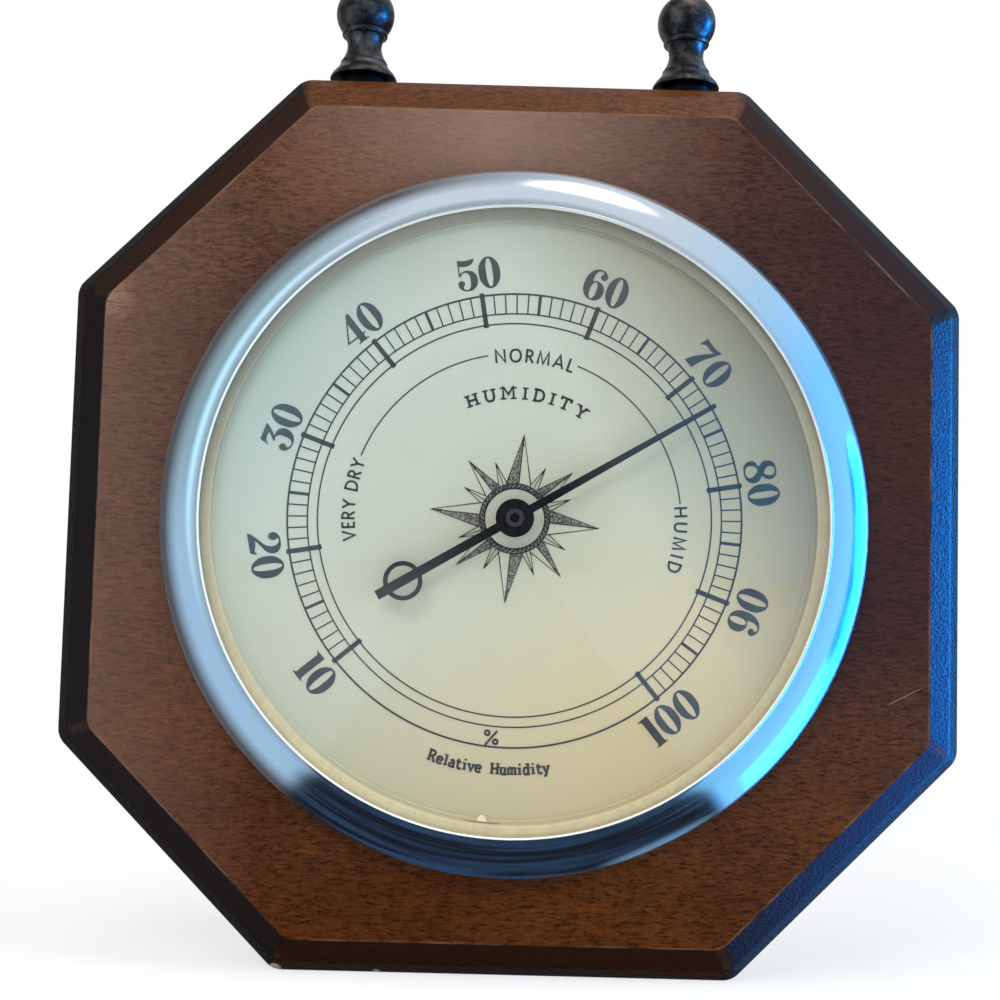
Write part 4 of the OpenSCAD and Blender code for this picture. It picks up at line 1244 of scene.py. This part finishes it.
black = Finish("hand_enamel", Specular_IOR_Level=0.15)
clouding = black.mottle(1200.0, (13, 14, 18), (28, 29, 33), 0.4, 0.8)
black.link(black.fit(clouding, 0.3, 0.7, 0.4, 0.55), "Roughness")
dress(black.material, "hand")
matt = Finish("boss_black", Roughness=0.75, Specular_IOR_Level=0.2)
matt.mottle(2500.0, (50, 48, 55), (66, 62, 68))
dress(matt.material, "hub_bush")

# %% [markdown]
# The rest is hardware that shows from behind or through the edge of the window: brown fibre, plated
# steel with a fine spangle, spring steel, brass and the copper-coloured coil. One function makes the
# metals, because they differ only in colour, gloss and the size of their mottling.

# %% Hardware
def metal(name, bright, dark, gloss, scale, *names):
    """A metal whose colour and gloss wander between two values."""
    made = Finish(name, Metallic=1.0)
    grain = made.mottle(scale, bright, dark, detail=4)
    made.link(made.fit(grain, 0.3, 0.7, gloss, gloss + 0.14), "Roughness")
    made.bump(grain, 0.1, 0.05 * mm)
    dress(made.material, *names)


metal("plated_brass", (214, 178, 98), (176, 138, 70), 0.26, 500.0, "hanger", "hanger_nails")
metal("case_zinc", (190, 190, 186), (150, 150, 146), 0.34, 260.0, "case_cup")
metal("strap_steel", (176, 176, 170), (140, 140, 136), 0.34, 600.0, "bridge", "setting_arm")
screws, brasses = ("bridge_screws", "clip_rivets", "post_studs"), ("front_bush", "rear_bush", "setting_spindle")
metal("screw_steel", (200, 200, 202), (160, 160, 163), 0.28, 900.0, *screws)
metal("turned_brass", (206, 164, 84), (170, 128, 60), 0.24, 700.0, *brasses)
metal("small_brass", (200, 160, 86), (160, 122, 60), 0.28, 900.0, "anchor_post", "coil_collet", "end_collar")
metal("spring_steel", (120, 124, 134), (88, 92, 102), 0.3, 400.0, "spring_clips")
metal("coil_bronze", (176, 118, 78), (138, 88, 56), 0.3, 800.0, "humidity_coil")
metal("arbor_steel", (44, 45, 48), (24, 25, 28), 0.4, 900.0, "arbor")
fibre = Finish("fibre_brown", Roughness=0.85)
fibre.bump(fibre.mottle(900.0, (112, 90, 62), (84, 66, 44)), 0.3, 0.08 * mm)
dress(fibre.material, "spacer_ring")

# %% [markdown]
# ## Floor, light and surroundings
#
# The instrument stands on a plain pale floor. For the camera the floor runs out into pure white a little
# way off, so that no horizon shows, and near the object it keeps the shadow.

# %% Floor
floor_z = cad_box[0].z
bpy.ops.mesh.primitive_plane_add(size=6, location=(0, 0, floor_z - 0.02 * mm))
floor = bpy.context.object
floor.name = "floor"
floor.visible_glossy = False
ground = Finish("pale_floor", Roughness=0.9)
pale = ground.blend(ground.noise(ground.place, 30.0), srgb(246, 246, 246), srgb(250, 250, 250))
ground.link(pale, "Base Color")
glow = ground.node("ShaderNodeEmission", {"Color": (1, 1, 1, 1), "Strength": 1.0})
camera_ray = ground.node("ShaderNodeLightPath").outputs["Is Camera Ray"]
away = ground.node("ShaderNodeVectorMath", {0: ground.place}, operation="LENGTH").outputs["Value"]
plain_share = ground.times(camera_ray, ground.fit(away, 0.09, 0.35, 0.72, 1.0))
mixed = ground.node("ShaderNodeMixShader", {0: plain_share, 1: ground.shader.outputs[0], 2: glow.outputs[0]})
ground.show(mixed.outputs[0])
dress(ground.material, "floor")

# %% [markdown]
# The sky is white wherever the camera, a mirror or the window sees it, and weaker as a light, so that the
# lamps give the shape.

# %% World
world = bpy.data.worlds.new("studio")
bpy.context.scene.world = world
world.use_nodes = True
sky = world.node_tree
sky_color, sky_light = (0.9, 0.95, 1.0, 1.0), 0.42
seen_sky = sky.nodes["Background"]
seen_sky.inputs["Color"].default_value = (1.0, 1.0, 1.0, 1.0)
lit_sky = add_node(sky, "ShaderNodeBackground", {"Color": sky_color, "Strength": sky_light})
rays = add_node(sky, "ShaderNodeLightPath").outputs
seen_by = rays["Is Camera Ray"]
for kind in ("Is Glossy Ray", "Is Transmission Ray"):
    seen_by = add_node(sky, "ShaderNodeMath", {0: seen_by, 1: rays[kind]}, operation="MAXIMUM").outputs[0]
choice = add_node(sky, "ShaderNodeMixShader", {0: seen_by, 1: lit_sky.outputs[0], 2: seen_sky.outputs[0]})
sky.links.new(choice.outputs[0], sky.nodes["World Output"].inputs["Surface"])
print("The sky lights the object at", sky_light)

# %% [markdown]
# Three soft lamps light the object: a large one from the upper left, one above, and a blue one low on the
# right, where the real instrument stood beside a window. They are left out of reflections, because a
# lamp's square outline on polished metal looks like nothing in a room.

# %% Lamps
def lamp(name, place, size, power, color):
    """A soft rectangular lamp that faces the dial."""
    turn = (-Vector(place)).to_track_quat("-Z", "Y").to_euler()
    bpy.ops.object.light_add(type="AREA", location=place, rotation=turn)
    made = bpy.context.object
    made.name = name
    made.data.shape = "RECTANGLE"
    made.data.size, made.data.size_y = size
    made.data.energy = power
    made.data.color = color
    made.visible_glossy = made.visible_transmission = False
    return made


key_lamp = lamp("key", (-0.22, -0.45, 0.48), (0.45, 0.35), 2.6, (1.0, 0.98, 0.95))
top_lamp = lamp("top", (0.02, -0.16, 0.6), (0.5, 0.2), 1.7, (1.0, 0.97, 0.93))
side_lamp = lamp("window_right", (0.5, -0.14, 0.08), (0.2, 0.36), 2.2, (0.6, 0.82, 1.0))
print("The lamps give", key_lamp.data.energy + top_lamp.data.energy + side_lamp.data.energy, "W")

# %% [markdown]
# Polished metal is only as good as what it mirrors. So a light tent stands round everything, as in a
# photographer's studio, and only reflections see it. Its cloth glows by direction: pale blue on the left,
# brighter and bluer on the right, nearly white above, dark straight ahead and below, where the
# photographer stands, and dim where it meets the plane of the board. Soft round glows are then laid on
# it, each by its direction: a clock angle seen from the front, and how far off the front axis it is.
# A ray that only goes through the window, and is mirrored nowhere, still sees a white room.

# %% Light tent
tent_r = 0.9
bpy.ops.mesh.primitive_uv_sphere_add(segments=64, ring_count=32, radius=tent_r)
tent = bpy.context.object
tent.name = "light_tent"
tent.visible_camera = tent.visible_diffuse = tent.visible_shadow = tent.visible_volume_scatter = False
cloth = Finish("tent_cloth")
way = cloth.node("ShaderNodeVectorMath", {0: cloth.place}, operation="NORMALIZE").outputs["Vector"]
back = cloth.parts(way)["Y"]
flat = cloth.node("ShaderNodeVectorMath", {0: way, 1: (1.0, 0.0, 1.0)}, operation="MULTIPLY")
ring_way = cloth.node("ShaderNodeVectorMath", {0: flat.outputs[0]}, operation="NORMALIZE").outputs["Vector"]
side, _, lift = cloth.parts(ring_way)


def toward(clock, off):
    """The direction at a clock angle in degrees and degrees off the front axis."""
    out = math.sin(math.radians(off))
    turn = math.radians(clock)
    return out * math.sin(turn), -math.cos(math.radians(off)), out * math.cos(turn)


def patch(clock, off, full, fade):
    """1 within some degrees of a direction, fading to 0."""
    near, far = math.cos(math.radians(full)), math.cos(math.radians(fade))
    return cloth.fit(cloth.along(toward(clock, off), way), far, near)


def glow_on(share, color, mode="MIX"):
    """Lay a light over the cloth by a share."""
    cloth.color = cloth.blend(share, cloth.color, (*color, 1), mode)


night, dusk, haze = (0.016, 0.019, 0.028), (0.13, 0.13, 0.14), (0.55, 0.58, 0.62)
pale_blue, clear_blue, cloud_white = (0.5, 0.76, 1.02, 1), (0.3, 0.84, 1.4, 1), (0.86, 0.95, 1.05)
cloth.color = cloth.blend(cloth.fit(side, -0.4, 0.7), pale_blue, clear_blue)
glow_on(cloth.fit(lift, 0.5, 0.92), cloud_white)
glow_on(cloth.times(patch(305, 72, 12, 36), 0.8), (0.34, 0.5, 0.5))
glow_on(cloth.times(cloth.fit(back, -0.3, 0.02), cloth.fit(side, 0.25, -0.35)), dusk)
glow_on(patch(300, 34, 8, 26), (0.4, 0.7, 0.8), "ADD")
glow_on(patch(330, 10, 18, 34), (0.38, 0.46, 0.5))
glow_on(patch(12, 80, 5, 12), (2.2, 2.0, 1.9), "ADD")
glow_on(patch(100, 90, 20, 55), (0.03, 0.15, 0.8), "ADD")
print("The cloth has", len(cloth.tree.nodes), "nodes so far")

# %% [markdown]
# The strong blue on the right comes from one tall panel of the tent, beside the board. It is deep blue
# where the moulding mirrors it, and cyan past its slanted front edge, where the bezel does. Below, the
# tent is dark with a few faint streaks.

# %% Blue panel and dark ground
panel = cloth.times(cloth.fit(lift, 0.3, 0.22), cloth.fit(lift, -0.72, -0.64), cloth.fit(side, 0.0, 0.1))
panel = cloth.times(panel, cloth.fit(back, 0.12, 0.04))
high_panel = cloth.times(cloth.fit(back, -0.3, -0.22), cloth.fit(lift, -0.5, -0.3))
low_panel = cloth.times(cloth.fit(back, -0.34, -0.26), cloth.fit(lift, -0.3, -0.5))
panel_edge = cloth.plus(back, cloth.fit(lift, 0.0, -0.7, 0.0, -0.18))
glow_on(cloth.times(panel, high_panel), (0.05, 0.55, 14.0))
glow_on(cloth.times(panel, low_panel), (0.3, 3.4, 16.0))
glow_on(cloth.times(panel, cloth.fit(panel_edge, -0.13, -0.1)), (0.13, 24.0, 80.0))
glow_on(patch(30, 4, 6, 15), night)
glow_on(cloth.fit(lift, -0.755, -0.785), night)
streaks = cloth.fit(cloth.noise(cloth.stretched(1.6, 6.0, 1.6), detail=4, distort=0.8), 0.47, 0.66, 0.0, 0.8)
glow_on(cloth.times(streaks, cloth.fit(lift, -0.77, -0.8)), (0.05, 0.11, 0.23))
glow_on(cloth.times(patch(152, 96, 4, 12), 0.8), (0.24, 0.48, 0.74))
glow_on(cloth.fit(back, 0.25, 0.5), haze)
glow_on(patch(95, 138, 24, 40), dusk)
mirrored = cloth.fit(cloth.node("ShaderNodeLightPath").outputs["Glossy Depth"], 0.0, 1.0)
shine = cloth.blend(mirrored, (1.0, 1.0, 1.0, 1.0), cloth.color)
cloth.show(cloth.node("ShaderNodeEmission", {"Color": shine}).outputs[0])
cloth.tree.nodes.remove(cloth.shader)
dress(cloth.material, "light_tent")

# %% [markdown]
# ## Sizes and finish
#
# The last step prints the frame's box.

# %% Finish
print("CAD box", cad_box)
